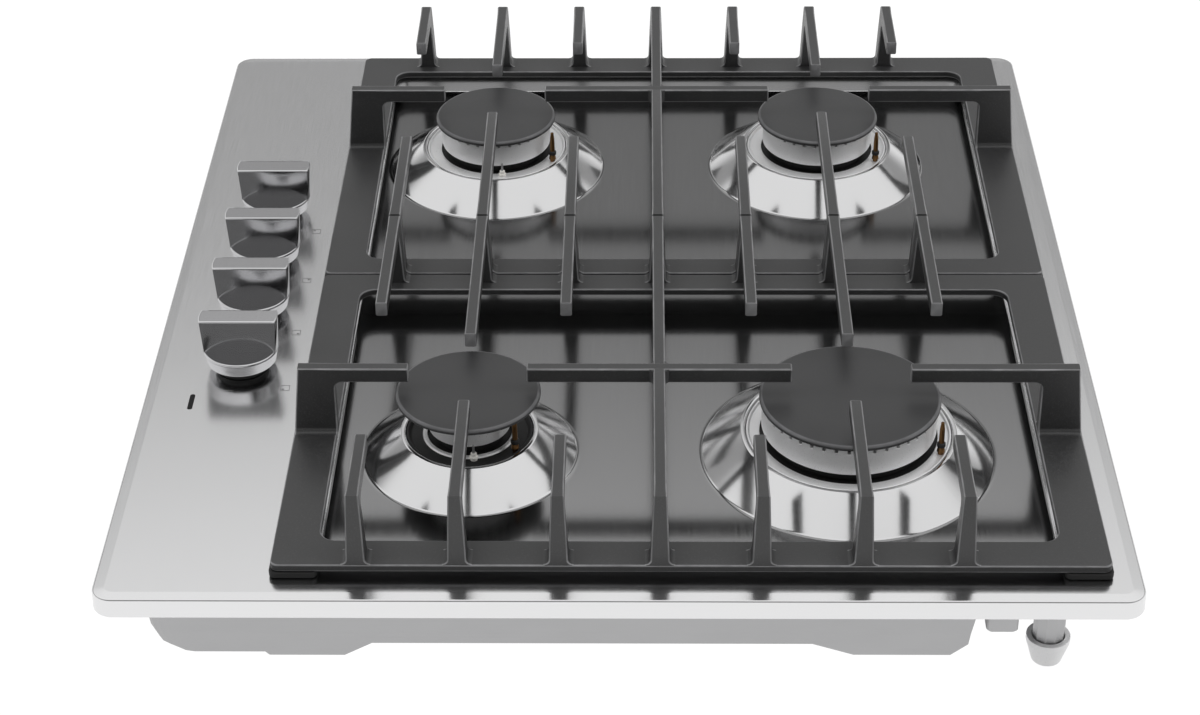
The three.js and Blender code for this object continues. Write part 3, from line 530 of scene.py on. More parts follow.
def material(name):
    """The named finish, made on first use."""
    look = bpy.context.scene.hob_finish
    along_x, rings = (0.03, 0.0004, 0.0004), (0.02, 0.02, 0.0003)
    makers = {
        "plate": lambda: metal("plate", look.steel, 0.19, along_x, 0.14, 0.035, 4e-6),
        # The basin floor: the plate's steel darkened as painted shade
        "recess": lambda: metal("recess", times(look.steel, look.recess), 0.15, along_x, 0.16, 0.08, 6e-6),
        "cone": lambda: metal("cone", times(look.steel, 0.9), 0.14, rings, 0.1, 0.02),
        "knob": lambda: metal("knob", look.knob, 0.12, (0.02, 0.0012, 0.02), 0.06, 0.008),
        "burner": lambda: moulded("burner", look.burner, 0.33, 0.0006, 3e-6, 0.45),
        # Dark colour of the thermocouple collars, also used as painted shade on the burners
        "dark_and_painted_shade": lambda: moulded("dark_and_painted_shade", look.dark_and_painted_shade, 0.55),
        "iron": lambda: cast_material("iron", look.iron, 0.42, 0.0007, 5e-5, 2.2, 0.75, 1.65),
        "enamel": lambda: cast_material("enamel", look.enamel, 0.42, 0.0006, 2e-5, 1.25, 0.25, 1.5),
        "tray": lambda: metal("tray", look.tray, 0.5, (0.02, 0.02, 0.01), 0.08, 0.08),
        "rubber": lambda: moulded("rubber", look.rubber, 0.6),
        "brass": lambda: metal("brass", look.brass, 0.3, rings),
        "ceramic": lambda: moulded("ceramic", look.ceramic, 0.25, 0.0004, 5e-6),
        "plastic": lambda: moulded("plastic", look.plastic, 0.5),
        "steel": lambda: metal("steel", times(look.steel, 0.6), 0.4, (0.01, 0.0006, 0.0006), 0.2, 0.06, 5e-6),
        "ink": lambda: moulded("ink", look.print_ink, 0.8),
        "ink_grey": lambda: moulded("ink_grey", (0.2, 0.2, 0.2), 0.6),
    }
    if name not in MATERIALS:
        MATERIALS[name] = makers[name]()
    return MATERIALS[name]


def refinish(shown, finish, chosen):
    """Gives another finish to the faces whose middles are chosen."""
    mesh = shown.data
    mesh.materials.append(material(finish))
    centres = np.zeros(len(mesh.polygons) * 3)
    mesh.polygons.foreach_get("center", centres)
    index = np.zeros(len(mesh.polygons), np.int32)
    mesh.polygons.foreach_get("material_index", index)
    index[chosen(*centres.reshape(-1, 3).T)] = len(mesh.materials) - 1
    mesh.polygons.foreach_set("material_index", index)


def keep(cad_node, finish):
    """A CAD node whose shape is right keeps its mesh and gets a finish."""
    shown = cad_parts[cad_node]
    shown.data.materials.clear()
    shown.data.materials.append(material(finish))
    shown.data.shade_smooth()
    shown.data.set_sharp_from_angle(angle=math.radians(35))


# ---------- Operators ----------

def spread(low, high, distance, count):
    """Places from low to high at even angles as seen from a point that far from the line."""
    return distance * np.tan(np.linspace(math.atan(low / distance), math.atan(high / distance), count))


def recess_stations(low, high, inset, corner):
    """Fractions along the sides of the recess floor, at even angles as seen from the burners."""
    x, y, _ = middle("rear_right_burner_cap") - Vector((0, COOK_Y, 0))
    side, front, rear = high[0] - inset, low[1] + inset - COOK_Y, high[1] - inset - COOK_Y
    ends = []
    for distance in (abs(front + y), rear - y):
        across = spread(corner - side + x, x, distance, 36) - x
        half = (across - across[0]) / (2 * abs(across[0]))
        ends.append(np.concatenate([half, 1 - half[-2::-1]]))
    lower = spread(front + corner + y, y, side - x, 28) - y
    upper = spread(-y, rear - corner - y, side - x, 28) + y
    up = (np.concatenate([lower, upper[1:]]) - lower[0]) / (upper[-1] - lower[0])
    return [ends[0], up, ends[1], 1 - up[::-1]]


def floor_quarter(outline, at):
    """The part of an outline on a burner's side of the middle, with points on the two axes that close it."""
    side = np.sign([at.x, at.y - COOK_Y])
    outline = (outline - [0, COOK_Y]) * side
    mine = outline[np.all(outline >= -1e-9, axis=1)]
    x, y = abs(at.x), abs(at.y - COOK_Y)
    far_x, far_y = mine.max(axis=0)
    on_x = spread(-x, far_x - x, y, 36)[1:-1] + x
    on_y = spread(-y, far_y - y, x, 36)[1:-1] + y
    axes = np.concatenate([np.outer(on_x, [1, 0]), np.outer(on_y, [0, 1]), [[0, 0]]])
    return np.concatenate([mine, axes]) * side + [0, COOK_Y]


class HOB_OT_plate(bpy.types.Operator):
    """Build the pressed plate with its recess, cones and folded rim"""
    bl_idname = "hob.plate"
    bl_label = "Plate"

    def execute(self, context):
        size = context.scene.hob_plate
        floor_z = PLATE_TOP - size.recess_depth
        round_in, round_out = mm(1.6, 1.4)
        inset = size.recess_run + round_in
        low, high = (-size.recess_x, size.recess_front), (size.recess_x, size.recess_rear)
        stations = recess_stations(low, high, inset, size.recess_corner - inset)

        # From the recess floor up its wall, over the plate, down the strip and round the hem.
        wall = rounded_profile([(inset, floor_z), (size.recess_run, floor_z), (0, PLATE_TOP),
                                (-round_out * 2, PLATE_TOP)], [round_in, round_out], 5)
        edge = rounded_profile([
            (size.strip + 1 * MM, PLATE_TOP), (size.strip, PLATE_TOP), (0.3 * MM, PLATE_TOP - size.drop),
            (0, 0), (size.hem, 0), (size.hem, size.sheet)], [0.5 * MM, size.edge_round, size.edge_round, 0])
        rows = [level(drawn_in(low, high, offset, size.recess_corner - offset, stations), z)
                for offset, z in wall]
        for offset, z in edge:
            corner = max(size.corner - offset, 0.5 * MM)
            rows.append(level(drawn_in(PLATE_LOW, PLATE_HIGH, offset, corner, stations), z))
        shells = [grid(np.array(rows), close_across=True)]
        cones = []
        for name in BURNERS:
            at = middle(f"{name}_burner_cap")
            loop = floor_quarter(rows[0][:, :2], at)
            turn = np.arctan2(loop[:, 1] - at.y, loop[:, 0] - at.x)
            loop, turn = loop[np.argsort(turn)], np.sort(turn)
            ring = RINGS[name]
            foot = ring + size.cone_run + 2.5 * MM
            circle = np.column_stack([at.x + foot * np.cos(turn), at.y + foot * np.sin(turn)])
            floor = [level(outline, floor_z) for outline in (circle, (loop + circle) / 2, loop)]
            shells.append(grid(np.array(floor), close_across=True))
            ring_z, hole = PLATE_TOP + size.cone_rise, ring - size.lip_inset
            cone = rounded_profile([
                (foot, floor_z), (ring + size.cone_run, floor_z), (ring, ring_z), (hole, ring_z),
                (hole, ring_z - size.lip_depth)], mm(4, 1.2, 1.2), 6)
            cones.append(grid(turned(cone, at, turn), close_across=True))
        plate = piece("hob_plate", shells + cones, "plate", "hob", ["top_plate"], weld=2e-6)
        # The basin's floor gets the darker steel: painted shade under the grates
        refinish(plate, "recess", lambda x, y, z: (z < floor_z + 0.3 * MM) & (z > floor_z - 0.3 * MM))
        feet = [(middle(f"{name}_burner_cap"), RINGS[name] + 22 * MM) for name in BURNERS]
        refinish(plate, "cone", lambda x, y, z: (z > floor_z + 0.35 * MM) & np.any(
            [np.hypot(x - at.x, y - at.y) < reach for at, reach in feet], axis=0))
        solid = plate.modifiers.new("sheet", "SOLIDIFY")
        solid.thickness = size.sheet
        solid.offset = -1
        return {"FINISHED"}


def burner_body(name, size, plate):
    """A stem, a flange under the plate's lip and a flat dish inside a ridge, turned. The small burner's dish
    has a second ridge round its crown."""
    low, high, at, flange = measured(f"{name}_burner_body")
    seat = PLATE_TOP + size.seat
    edge = RINGS[name] - plate.lip_inset - GAP
    inside = measured(f"{name}_burner_crown")[3] + size.dish_in
    under = PLATE_TOP + plate.cone_rise - plate.lip_depth - GAP
    floor = seat + size.dish_rise
    dish, rounds = [(edge - 1.8 * MM, floor), (inside, floor)], mm(0.4, 0.3)
    small = name == "front_right"
    if small:
        dish = [(edge - 2.5 * MM, seat + 0.8 * MM), (inside + 2.8 * MM, seat + 0.8 * MM),
                (inside + 2 * MM, seat + 1.9 * MM), (inside, seat + 1.9 * MM)]
        rounds = mm(0.6, 0.3, 0.3, 0.3)
    stem, bore, bore_floor = 16 * MM, 9.6 * MM, seat - 8.6 * MM
    profile = rounded_profile([
        (AXIS, low.z), (stem, low.z), (stem, under - 2 * MM), (flange, under - 2 * MM), (flange, under),
        (edge, under), (edge, high.z), (edge - size.dish_edge, high.z), *dish, (inside, seat), (bore, seat),
        (bore, bore_floor), (AXIS, bore_floor)],
        [*mm(1, 1, 0.4, 0.4, 0.4, 0.4, 0.4), *rounds, *mm(0.1, 0.6, 0.3)])
    shown = piece(f"{name}_body", [turned_shell(profile, at, 96)], "burner", "hob",
                  [f"{name}_burner_body"])

    # Faces painted dark as shade: the bore and seat inside the crown and, on the small burner, the dish in
    # the cap's shadow
    def painted_shade_faces(x, y, z):
        away = np.hypot(x - at.x, y - at.y)
        painted_shade_dish = (away > inside + 2.5 * MM) & (z > high.z - 4 * MM) & small
        return (z > low.z + 1 * MM) & ((away < inside + 0.05 * MM) | painted_shade_dish)
    refinish(shown, "dark_and_painted_shade", painted_shade_faces)


def burner_crown(name, size):
    """A necked ring whose upper edge drops into a flame port at even angles."""
    low, high, at, radius = measured(f"{name}_burner_crown")
    seat, band = PLATE_TOP + size.seat + GAP, PLATE_TOP + size.band
    ports = int(round(2 * math.pi * radius / size.port_pitch))
    step = math.pi / ports
    centres = even_angles(ports) + step
    half, slope = size.port_width / 2 / radius, 0.12 * MM / radius
    cuts = [centres + side for side in (-half - slope, -half, half, half + slope)]
    cuts += [even_angles(ports) + side for side in (0, step / 2, -step / 2)]
    cuts = np.sort(np.concatenate(cuts) % (2 * math.pi))
    near = np.abs((cuts[:, None] - centres + math.pi) % (2 * math.pi) - math.pi).min(axis=1)
    dip = np.where(near < half + slope / 2, size.port_depth, 0)
    neck, inside, floor = radius - size.neck, radius - 3.5 * MM, high.z - 5 * MM
    bore, spigot = 6.5 * MM, 9.3 * MM
    profile = rounded_profile([
        (bore, low.z), (spigot, low.z), (spigot, seat), (neck, seat), (neck, band), (radius, band),
        (radius, high.z), (inside, high.z), (inside, floor), (bore, floor), (bore, low.z)],
        mm(0.3, 0.3, 0.5, 0.6, 0.7, 0.35, 0.3, 0.6, 0.3), 3)[:-1]
    points = turned(profile, at, cuts)
    points[..., 2] -= (profile[:, 1] > high.z - 0.75 * MM)[:, None] * dip
    shown = piece(f"{name}_crown", [grid(points, True, True)], "burner", f"{name}_crown",
                  [f"{name}_burner_crown"])
    # The neck under the band is painted dark as shade
    refinish(shown, "dark_and_painted_shade", lambda x, y, z: (z < band + 0.2 * MM)
             & (np.hypot(x - at.x, y - at.y) < radius - 0.6 * MM))


def burner_cap(name, size):
    """A flat disc with a rounded rim, very slightly crowned, over its locating ring, turned."""
    low, high, at, radius = measured(f"{name}_burner_cap")
    under = high.z - size.cap_thickness
    spigot = measured(f"{name}_burner_crown")[3] - 3.8 * MM
    profile = rounded_profile([
        (AXIS, low.z), (spigot, low.z), (spigot, under), (radius, under), (radius, high.z - 0.25 * MM),
        (radius * 0.6, high.z), (AXIS, high.z)], [*mm(0.5, 0.3, 0.6), size.cap_round, 20 * MM], 6)
    # The rim's rounding gets a painted highlight
    rim = (profile[:, 0] > radius - 1.6 * MM) & (profile[:, 1] > high.z - 1.5 * MM)
    piece(f"{name}_cap", [turned_shell(profile, at, 128)], "enamel", f"{name}_cap",
          [f"{name}_burner_cap"], edges=[np.repeat(rim, 128)], smooth_angle=50)


def burner_pin(name, kind, finish):
    """A turned pin. A thermocouple has a dark ring halfway up, and a spark plug ends in a thin electrode."""
    low, high, at, _ = measured(f"{name}_{kind}")
    foot, plate, top = low.z / MM, PLATE_TOP / MM, high.z / MM
    if kind == "thermocouple":
        corners = [(0.01, foot), (1.5, foot), (1.5, plate + 7.8), (2.2, plate + 7.8), (1.7, plate + 11),
                   (2.3, plate + 11), (2.3, plate + 13), (1.5, plate + 13.4), (1.35, top - 4),
                   (1.0, top - 1.5), (0.9, top), (0.01, top)]
        other, lower, upper = "dark_and_painted_shade", 10.9, 13.5
    else:
        corners = [(0.01, foot), (1.9, foot), (1.9, plate + 6.4), (2.3, plate + 6.4), (2.3, plate + 7.6),
                   (1.6, plate + 8), (1.6, plate + 9.6), (0.7, plate + 10.2), (0.6, top), (0.01, top)]
        other, lower, upper = "steel", 10, 20
    profile = rounded_profile(np.array(corners) * MM, [0.2 * MM] * (len(corners) - 2), 3)
    shown = piece(f"{name}_{kind}_pin", [turned_shell(profile, at, 28)], finish, "hob",
                  [f"{name}_{kind}"])
    refinish(shown, other, lambda x, y, z: (z > PLATE_TOP + lower * MM) & (z < PLATE_TOP + upper * MM))


class HOB_OT_burners(bpy.types.Operator):
    """Build the burner bodies, crowns, caps and pins"""
    bl_idname = "hob.burners"
    bl_label = "Burners"

    def execute(self, context):
        size = context.scene.hob_burner
        for name in BURNERS:
            burner_body(name, size, context.scene.hob_plate)
            burner_crown(name, size)
            burner_cap(name, size)
            burner_pin(name, "thermocouple", "brass")
            burner_pin(name, "spark_plug", "ceramic")
        return {"FINISHED"}


def knob(name, size):
    """A turned disc, and a grip lofted upwards from outlines that are the disc's circle cut to the
    grip's thickness."""
    low, high, at, _ = measured(f"{name}_knob")
    skirt = PLATE_TOP + size.lift
    ceiling, disc_top = skirt + 3.2 * MM, skirt + size.disc
    disc = rounded_profile([
        (AXIS, low.z), (size.hub, low.z), (size.hub, ceiling), (size.skirt, ceiling), (size.skirt, skirt),
        (size.radius - size.taper, skirt), (size.radius, disc_top), (AXIS, disc_top)],
        mm(0.3, 0.3, 0.3, 0.3, 0.6, 1), 5)
    half, shoulder = size.blade / 2, high.z - size.edge
    bend = arc((0, 0), size.edge, 0, 90, 4)
    upper = bend + [half - size.edge, shoulder]
    sides = [[half, disc_top - 0.5 * MM], [half, shoulder - HOLD], *upper, upper[-1] - [HOLD, 0]]
    reach = size.reach - 0.05 * MM - size.edge + bend[:, 0]
    slant = (size.reach - size.radius) * HOLD / (shoulder - disc_top)
    reach = [size.radius - 0.3 * MM, reach[0] - slant, *reach, reach[-1] - HOLD]
    grip = [level(cut_circle(x, r) + [at.x, at.y], z) for (x, z), r in zip(sides, reach)]
    piece(f"{name}_grip", [turned_shell(disc, at, 96), closed_grid(np.array(grip))], "knob",
          f"{name}_knob", [f"{name}_knob"], smooth_angle=50)


def cut_circle(half, radius):
    """The part of a circle between x = -half and x = half: two arcs and the straight lines between them."""
    turn = math.asin(min(half / radius, 0.98))
    top = np.pi / 2 - np.linspace(-turn, turn, 24)
    ends = np.column_stack([radius * np.cos(top), radius * np.sin(top)])
    straight = np.linspace(1, -1, 14)[1:-1, None] * [0, ends[-1, 1]] + [ends[-1, 0], 0]
    return np.concatenate([ends[::-1], -straight[::-1] * [1, -1], -ends[::-1], straight[::-1]])


def knob_seal(name):
    """A flat ring with rounded edges, turned."""
    low, high, at, radius = measured(f"{name}_knob_seal")
    bore = 7.6 * MM
    profile = rounded_profile([(bore, low.z), (radius, low.z), (radius, high.z), (bore, high.z),
                               (bore, low.z)], mm(0.3, 0.9, 0.5))
    piece(f"{name}_seal", [turned_shell(profile, at, 64)], "rubber", "hob", [f"{name}_knob_seal"])


class HOB_OT_knobs(bpy.types.Operator):
    """Build the knobs and the seal rings under them"""
    bl_idname = "hob.knobs"
    bl_label = "Knobs"

    def execute(self, context):
        for name in BURNERS:
            knob(name, context.scene.hob_knob)
            knob_seal(name)
        return {"FINISHED"}


def right_casting(size):
    """The right-hand grate's shells, each with its edge values."""
    yield frame_bars(size)
    burner_x = middle("rear_right_burner_cap").x
    for place in range(-3, 4):
        y = COOK_Y + place * size.pitch
        clear = size.tip if abs(place) == 2 else size.short_tip if place else -2 * MM
        inner, outer = burner_x - clear - GRATE_LOW.x, GRATE_HIGH.x - burner_x - clear
        yield finger(size, (GRATE_LOW.x, y), 0, inner, 0, size.leg, size.leg_width)
        yield finger(size, (GRATE_HIGH.x, y), 180, outer, size.lean, size.leg, size.leg_width)
    reach = 2 * size.pitch + size.tip
    front, rear = COOK_Y - reach - GRATE_LOW.y, GRATE_HIGH.y - COOK_Y - reach
    post = (size.post_lean, size.post, size.post_width)
    yield finger(size, (burner_x, GRATE_LOW.y), 90, front, *post)
    yield finger(size, (burner_x, GRATE_HIGH.y), 270, rear, *post)
    yield spine(size, (burner_x, COOK_Y), 2 * size.pitch - size.tip)
    yield gusset(size, (burner_x, COOK_Y))


def bar_section(lower, upper, width, edge):
    """Closed loops round a bar: at each station a rectangle from lower to upper, as wide as width, with
    its corners rounded to edge. lower and upper are points in the bar's side view."""
    centre, half = (lower + upper) / 2, np.linalg.norm(upper - lower, axis=1) / 2
    turn = (upper - lower) / (2 * half[:, None])
    across, depth = bar_loops(width / 2, half, edge)
    flat = centre[:, None, :] + depth[..., None] * turn[:, None, :]
    points = np.stack([flat[..., 0], across, flat[..., 1]], axis=-1)
    return points, np.tile(LOOP_HIGHLIT, (len(lower), 1))


def set_bar(points, highlit, foot, degrees):
    """A bar turned about Z and set with its start at foot."""
    cos, sin = math.cos(math.radians(degrees)), math.sin(math.radians(degrees))
    x = foot[0] + points[..., 0] * cos - points[..., 1] * sin
    y = foot[1] + points[..., 0] * sin + points[..., 1] * cos
    return closed_grid(np.stack([x, y, points[..., 2]], axis=-1)), highlit.ravel()


def finger(size, foot, degrees, reach, lean, leg, width):
    """A leg and the bar it carries. The side view has an outer line, up the leg and along the top, and an
    inner line, up the leg and under the bar round a fillet; stations pair points of the two. The width falls
    in a straight taper up the leg, and quarter circles widen its foot."""
    top, under = GRATE_HIGH.z - 0.04 * MM, GRATE_HIGH.z - size.finger_depth
    ledge = GRATE_LOW.z + size.thickness
    turn = np.linspace(0, math.pi / 2, 7)
    low = np.concatenate([[-0.4 * MM], size.root * (1 - np.cos(turn)), [size.root + HOLD]])
    tall, short = top - ledge, under - size.fillet - ledge
    outer_up = np.concatenate([low, [(low[-1] + tall) / 2, tall]])
    inner_up = np.concatenate([low, [short / 2, short]])
    start, bent = 0.25 * MM, lean + leg + size.fillet
    tip = reach - np.array(mm(0.6, 0.2, 0))
    ease = np.array(mm(0, 0.12, 0.6))
    outer = np.concatenate([
        np.column_stack([start + (lean - start) * outer_up / tall, ledge + outer_up]),
        np.column_stack([np.linspace(lean, bent, 7)[1:], np.full(6, top)]),
        np.column_stack([tip, top - ease])])
    inner = np.concatenate([
        np.column_stack([np.full(len(inner_up), lean + leg), ledge + inner_up]),
        arc((bent, under - size.fillet), size.fillet, 180, 90, 6)[1:], np.column_stack([tip, under + ease])])
    taper = np.clip((under - inner[:, 1]) / (under - ledge - size.root), 0, 1)
    breadth = size.finger_width + (width - size.finger_width) * taper
    breadth[0] += 2 * size.root
    breadth[1:8] += 2 * size.root * (1 - np.sin(turn))
    breadth[-2:] -= mm(0.25, 1.1)
    points, highlit = bar_section(inner, outer, breadth, size.edge)
    highlit[-2:] = 1
    return set_bar(points, highlit, foot, degrees)


def spine(size, centre, reach):
    """A straight bar along Y through the crossing, with its ends a little rounded."""
    top, under = GRATE_HIGH.z, GRATE_HIGH.z - size.finger_depth
    shrink = np.array(mm(0.6, 0.12, 0, 0, 0.12, 0.6))
    at = np.repeat([-reach, reach], 3) + mm(0, 0.4, 1, -1, -0.4, 0)
    outer, inner = np.column_stack([at, top - shrink]), np.column_stack([at, under + shrink])
    points, highlit = bar_section(inner, outer, size.finger_width - 1.6 * shrink, size.edge)
    highlit[[0, 1, -2, -1]] = 1
    return set_bar(points, highlit, centre, 90)


def gusset(size, centre):
    """The webs of the crossing: four hollow quarter circles between its arms."""
    near, far = size.finger_width / 2 - 0.5 * MM, size.finger_width / 2 + size.gusset
    corner = arc((far, far), far - near, 270, 180, 6)
    loop = []
    for _ in range(4):
        loop.append(corner)
        corner = corner @ [[0, 1], [-1, 0]]
    loop, top = np.concatenate(loop), GRATE_HIGH.z
    rows = [level(loop * share + centre, z) for share, z in (
        (1, top - size.finger_depth + 0.5 * MM), (1, top - 0.9 * MM), (0.96, top - 0.25 * MM))]
    return closed_grid(np.array(rows)), np.zeros(len(loop) * 3)


def frame_bars(size):
    """The flat frame: between matching points of its outer and inner outlines runs a rounded bar."""
    stations = whole_side(12)
    outside = rectangle(GRATE_LOW.x, GRATE_LOW.y, GRATE_HIGH.x, GRATE_HIGH.y, size.corner, stations)
    inside = rectangle(GRATE_LOW.x + size.inner_bar, GRATE_LOW.y + size.front_bar,
                       GRATE_HIGH.x - size.outer_bar, GRATE_HIGH.y - size.rear_bar, size.window, stations)
    half = np.linalg.norm(outside - inside, axis=1) / 2
    across = (outside - inside) / (2 * half[:, None])
    centre = (outside + inside) / 2
    out, up = bar_loops(half, np.full(len(half), size.thickness / 2), size.edge)
    flat = centre[:, None, :] + out[..., None] * across[:, None, :]
    points = np.concatenate([flat, up[..., None] + GRATE_LOW.z + size.thickness / 2], axis=-1)
    return grid(points, close_across=True, close_along=True), np.tile(LOOP_HIGHLIT, len(points))


def grate_foot(side, name):
    """A rounded block under a frame's corner: outlines stacked upwards, drawn in at the ends."""
    low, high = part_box(name)
    rows = [(1 * MM * (1 - math.sin(t)), low.z + 1 * MM * (1 - math.cos(t)))
            for t in np.linspace(0, math.pi / 2, 5)]
    rows += [(0, high.z - 0.3 * MM), (0.3 * MM, high.z)]
    loops = [level(drawn_in(low, high, inset, 3 * MM - inset * 0.9, whole_side(3)), z) for inset, z in rows]
    piece(f"{name}_pad", [closed_grid(np.array(loops))], "rubber", f"{side}_grate", [name])


class HOB_OT_grates(bpy.types.Operator):
    """Build the two cast grates and their rubber feet"""
    bl_idname = "hob.grates"
    bl_label = "Grates"

    def execute(self, context):
        shells, edges = zip(*right_casting(context.scene.hob_grate))
        for side, sign in (("right", 1), ("left", -1)):
            mine = [(points * [sign, 1, 1], faces) for points, faces in shells]
            piece(f"{side}_grate_casting", mine, "iron", f"{side}_grate", [f"{side}_grate"],
                  edges=edges, smooth_angle=38)
            for corner in ("front_inner", "front_outer", "rear_inner", "rear_outer"):
                grate_foot(side, f"{side}_grate_foot_{corner}")
        return {"FINISHED"}


def inlet_nut():
    """The inlet nut: a ring with a short straight shoulder that narrows to its foot, turned."""
    low, high, at, radius = measured("inlet_nut")
    wide, narrow, step = 8.5 * MM, 5 * MM, high.z - 10.4 * MM
    profile = rounded_profile([
        (wide, high.z), (radius, high.z), (radius, high.z - 3 * MM), (7.6 * MM, low.z), (narrow, low.z),
        (narrow, step), (wide, step), (wide, high.z)], mm(0.3, 0.6, 0.8, 0.2, 0.1, 0.1))
    piece("inlet_nut_turned", [turned_shell(profile, at, 72)], "burner", "hob", ["inlet_nut"])


class HOB_OT_underside(bpy.types.Operator):
    """Finish the tray, the inlet, the gas ways and the parts inside"""
    bl_idname = "hob.underside"
    bl_label = "Underside"

    def execute(self, context):
        for name in ("bottom_tray", "gas_rail", "terminal_block"):
            keep(name, "tray")
        keep("ignition_unit", "plastic")
        inlet_nut()
        for name in BURNERS:
            for part, finish in {"tap_body": "brass", "tap_plug": "brass", "spindle": "steel",
                                 "gas_pipe": "burner"}.items():
                keep(f"{name}_{part}", finish)
        return {"FINISHED"}


def print_film(outline):
    """A film of print: an outline in plan, 0.04 mm thick, just over the plate."""
    return closed_grid(np.array([level(outline, PLATE_TOP + z) for z in mm(0.02, 0.06)]))


def print_bar(x, y, across, up, width, height):
    """A rectangle of print, away from a point by across and up."""
    x, y = x + across, y + up
    return print_film(rectangle(x - width / 2, y - height / 2, x + width / 2, y + height / 2, 0.05 * MM,
                               whole_side(2), 2))


def print_ring(at, radius, width, start, end):
    """A part of a ring of print, between two angles in degrees."""
    out = arc(at, radius + width / 2, start, end, 16)
    return print_film(np.concatenate([out, arc(at, radius - width / 2, end, start, 16)]))


class HOB_OT_marks(bpy.types.Operator):
    """Print the marks beside the knobs"""
    bl_idname = "hob.marks"
    bl_label = "Marks"

    def execute(self, context):
        slot = rectangle(*mm(112, -234.7, 126.5, -231.9, 1.3), whole_side(3))
        piece("control_side_mark", [print_film(slot)], "ink", "hob")
        corners = {"front_left": (-1, -1), "rear_left": (-1, 1), "rear_right": (1, 1), "front_right": (1, -1)}
        for name in BURNERS:
            at = middle(f"{name}_knob_seal")
            side, row = corners[name]
            bars = [(-2.4, 0, 0.3, 4.8), (2.4, 0, 0.3, 4.8), (0, -2.4, 4.5, 0.3), (0, 2.4, 4.5, 0.3),
                    (1.1 * side, 1.1 * row, 1.2, 1.2)]
            shells = [print_ring(at, 25 * MM, 0.3 * MM, start, end) for start, end in ((200, 232), (-28, -6))]
            shells += [print_bar(at.x + 22 * MM, at.y + 26 * MM, *mm(*bar)) for bar in bars]
            piece(f"{name}_print", shells, "ink_grey", "hob")
        return {"FINISHED"}


def show(name, data):
    made = bpy.data.objects.new(name, data)
    bpy.context.scene.collection.objects.link(made)
    return made


def set_camera(context, studio):
    """Seen from the user's right: 33.5 degrees down, turned 1.07 and rolled 0.55 degrees."""
    lens = bpy.data.cameras.new("camera")
    lens.lens, lens.sensor_width, lens.sensor_fit = studio.lens, 36, "HORIZONTAL"
    lens.clip_start, lens.clip_end = 0.05, 30
    stand = show("camera", lens)
    stand.matrix_world = Matrix.Translation((1.30142, 0.01162, 0.82334))
    for degrees, axis in ((90 + 1.07, "Z"), (90 - 33.5, "X"), (-0.55, "Z")):
        stand.matrix_world @= Matrix.Rotation(math.radians(degrees), 4, axis)
    context.scene.camera = stand


def set_world(context, studio):
    """White to the camera. Shiny surfaces see a soft box overhead, longer along Y, that leans away from the
    camera, a dim room, darker behind the camera, and the floor's white up to a little over the horizon.
    Everything else gets a plain even fill."""
    world = bpy.data.worlds.new("studio")
    context.scene.world = world
    world.use_nodes = True
    tree = world.node_tree
    tree.nodes.clear()
    towards = tree.nodes.new("ShaderNodeTexCoord").outputs["Generated"]
    x, _, z = node(tree, "ShaderNodeSeparateXYZ", {0: towards}).outputs
    upright = node(tree, "ShaderNodeMapping", {0: towards, "Rotation": (0, math.radians(studio.box_lean), 0)},
                   vector_type="VECTOR")
    narrowed = node(tree, "ShaderNodeVectorMath", {0: upright.outputs[0], 1: (1, 1 / studio.box_long, 1)},
                    operation="MULTIPLY")
    unit = node(tree, "ShaderNodeVectorMath", {0: narrowed.outputs[0]}, operation="NORMALIZE")
    overhead = node(tree, "ShaderNodeSeparateXYZ", {0: unit.outputs[0]}).outputs[2]
    soft = {"interpolation_type": "SMOOTHSTEP"}
    edge, full = (math.cos(math.radians(angle)) for angle in (studio.box_edge, studio.box_full))
    box = ranged(tree, overhead, 0, 1, edge, full, **soft)
    room = ranged(tree, x, studio.room, studio.room_front, 0.55, 0.8)
    sky = maths(tree, "MAXIMUM", box, ranged(tree, z, 1, room, 0.12, 0.38, **soft))
    path = node(tree, "ShaderNodeLightPath", {}).outputs
    seen = maths(tree, "MAXIMUM", path["Is Camera Ray"], path["Is Transmission Ray"])
    strength = mixed(tree, seen, mixed(tree, path["Is Glossy Ray"], studio.fill, sky), 1)
    back = node(tree, "ShaderNodeBackground", {0: (1, 1, 1, 1), 1: strength})
    node(tree, "ShaderNodeOutputWorld", {0: back.outputs[0]})


def set_lamps(studio):
    """A broad lamp overhead and a lower one at each side."""
    for name, place, share, angle in (("overhead", (0.1, 0, 1), 0.55, 50), ("left", (0.15, -1, 0.6), 0.6, 30),
                                      ("right", (0.15, 1, 0.6), 0.75, 30)):
        lamp = bpy.data.lights.new(name, "SUN")
        lamp.energy, lamp.angle = studio.key * share, math.radians(angle)
        stand = show(name, lamp)
        stand.rotation_euler = Vector(place).to_track_quat("Z", "Y").to_euler()
        stand.visible_glossy = False


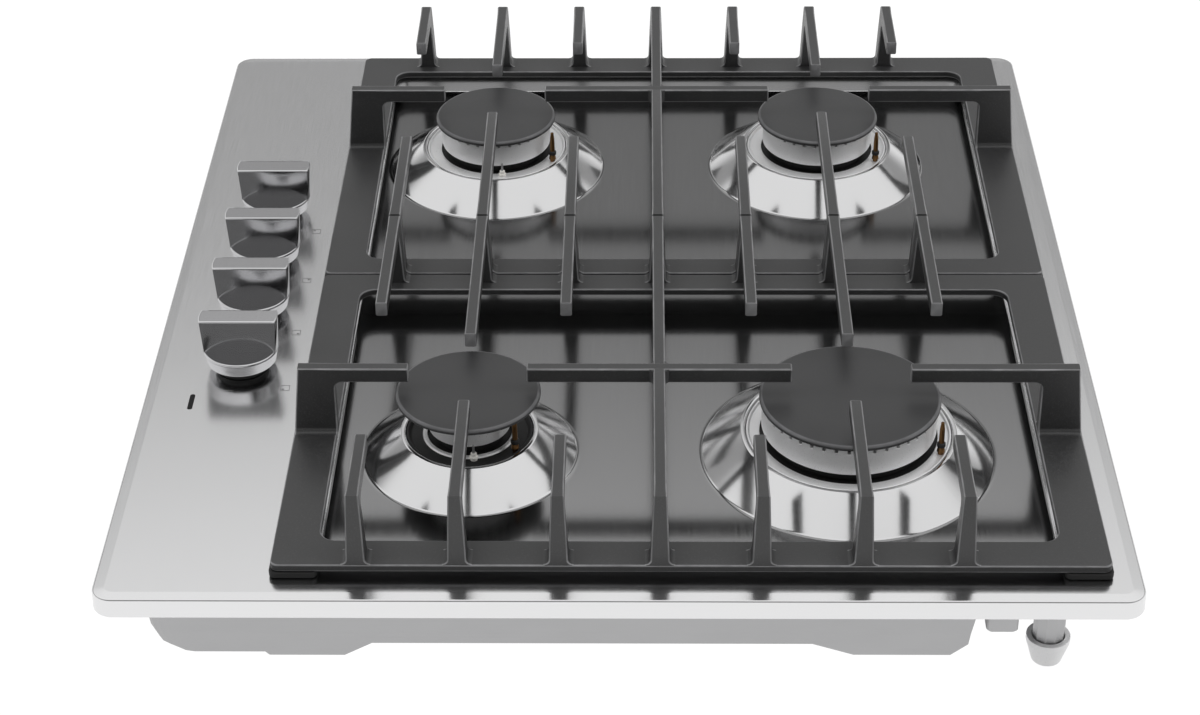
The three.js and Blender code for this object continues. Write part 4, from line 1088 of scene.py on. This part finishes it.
def set_floor(studio):
    """A wide pale floor that is white where no shadow falls on it."""
    half, z = 6.0, -studio.floor_drop
    mesh = bpy.data.meshes.new("floor")
    mesh.from_pydata([(-half, -half, z), (half, -half, z), (half, half, z), (-half, half, z)], [],
                     [(0, 1, 2, 3)])
    floor = show("floor", mesh)
    pale, tree, shader = new_material("floor")
    feed(tree, shader, {"Base Color": (0.12, 0.12, 0.12, 1), "Roughness": 1, "Specular IOR Level": 0})
    path = node(tree, "ShaderNodeLightPath", {}).outputs
    seen = maths(tree, "MAXIMUM", path["Is Camera Ray"], path["Is Glossy Ray"])
    glow = node(tree, "ShaderNodeEmission", {0: (0.95, 0.95, 0.95, 1), 1: seen})
    both = node(tree, "ShaderNodeAddShader", {0: shader.outputs[0], 1: glow.outputs[0]})
    feed(tree, tree.nodes["Material Output"], {0: both.outputs[0]})
    mesh.materials.append(pale)


class HOB_OT_studio(bpy.types.Operator):
    """Set up the camera, the lamps, the background and the floor"""
    bl_idname = "hob.studio"
    bl_label = "Studio"

    def execute(self, context):
        studio = context.scene.hob_studio
        set_camera(context, studio)
        set_world(context, studio)
        set_lamps(studio)
        set_floor(studio)
        context.scene.view_settings.view_transform = "Standard"
        return {"FINISHED"}


OPERATORS = (HOB_OT_studio, HOB_OT_plate, HOB_OT_burners, HOB_OT_knobs, HOB_OT_grates, HOB_OT_underside,
             HOB_OT_marks)


class HOB_PT_panel(bpy.types.Panel):
    """Lists the hob's pieces and their sizes"""
    bl_idname = "HOB_PT_panel"
    bl_label = "Gas hob"
    bl_space_type = "VIEW_3D"
    bl_region_type = "UI"
    bl_category = "Gas hob"

    def draw(self, context):
        for operator in OPERATORS:
            self.layout.operator(operator.bl_idname)
        for key, kind in SETTINGS.items():
            box = self.layout.box()
            for name in kind.__annotations__:
                box.prop(getattr(context.scene, key), name)


def register():
    for kind in (*SETTINGS.values(), *OPERATORS, HOB_PT_panel):
        bpy.utils.register_class(kind)
    for key, kind in SETTINGS.items():
        setattr(bpy.types.Scene, key, PointerProperty(type=kind))


def unregister():
    for key in SETTINGS:
        delattr(bpy.types.Scene, key)
    for kind in reversed((*SETTINGS.values(), *OPERATORS, HOB_PT_panel)):
        bpy.utils.unregister_class(kind)


def main():
    """Builds everything."""
    register()
    for operator in OPERATORS:
        group_name, call = operator.bl_idname.split(".")
        getattr(getattr(bpy.ops, group_name), call)()


if __name__ == "__main__":
    main()
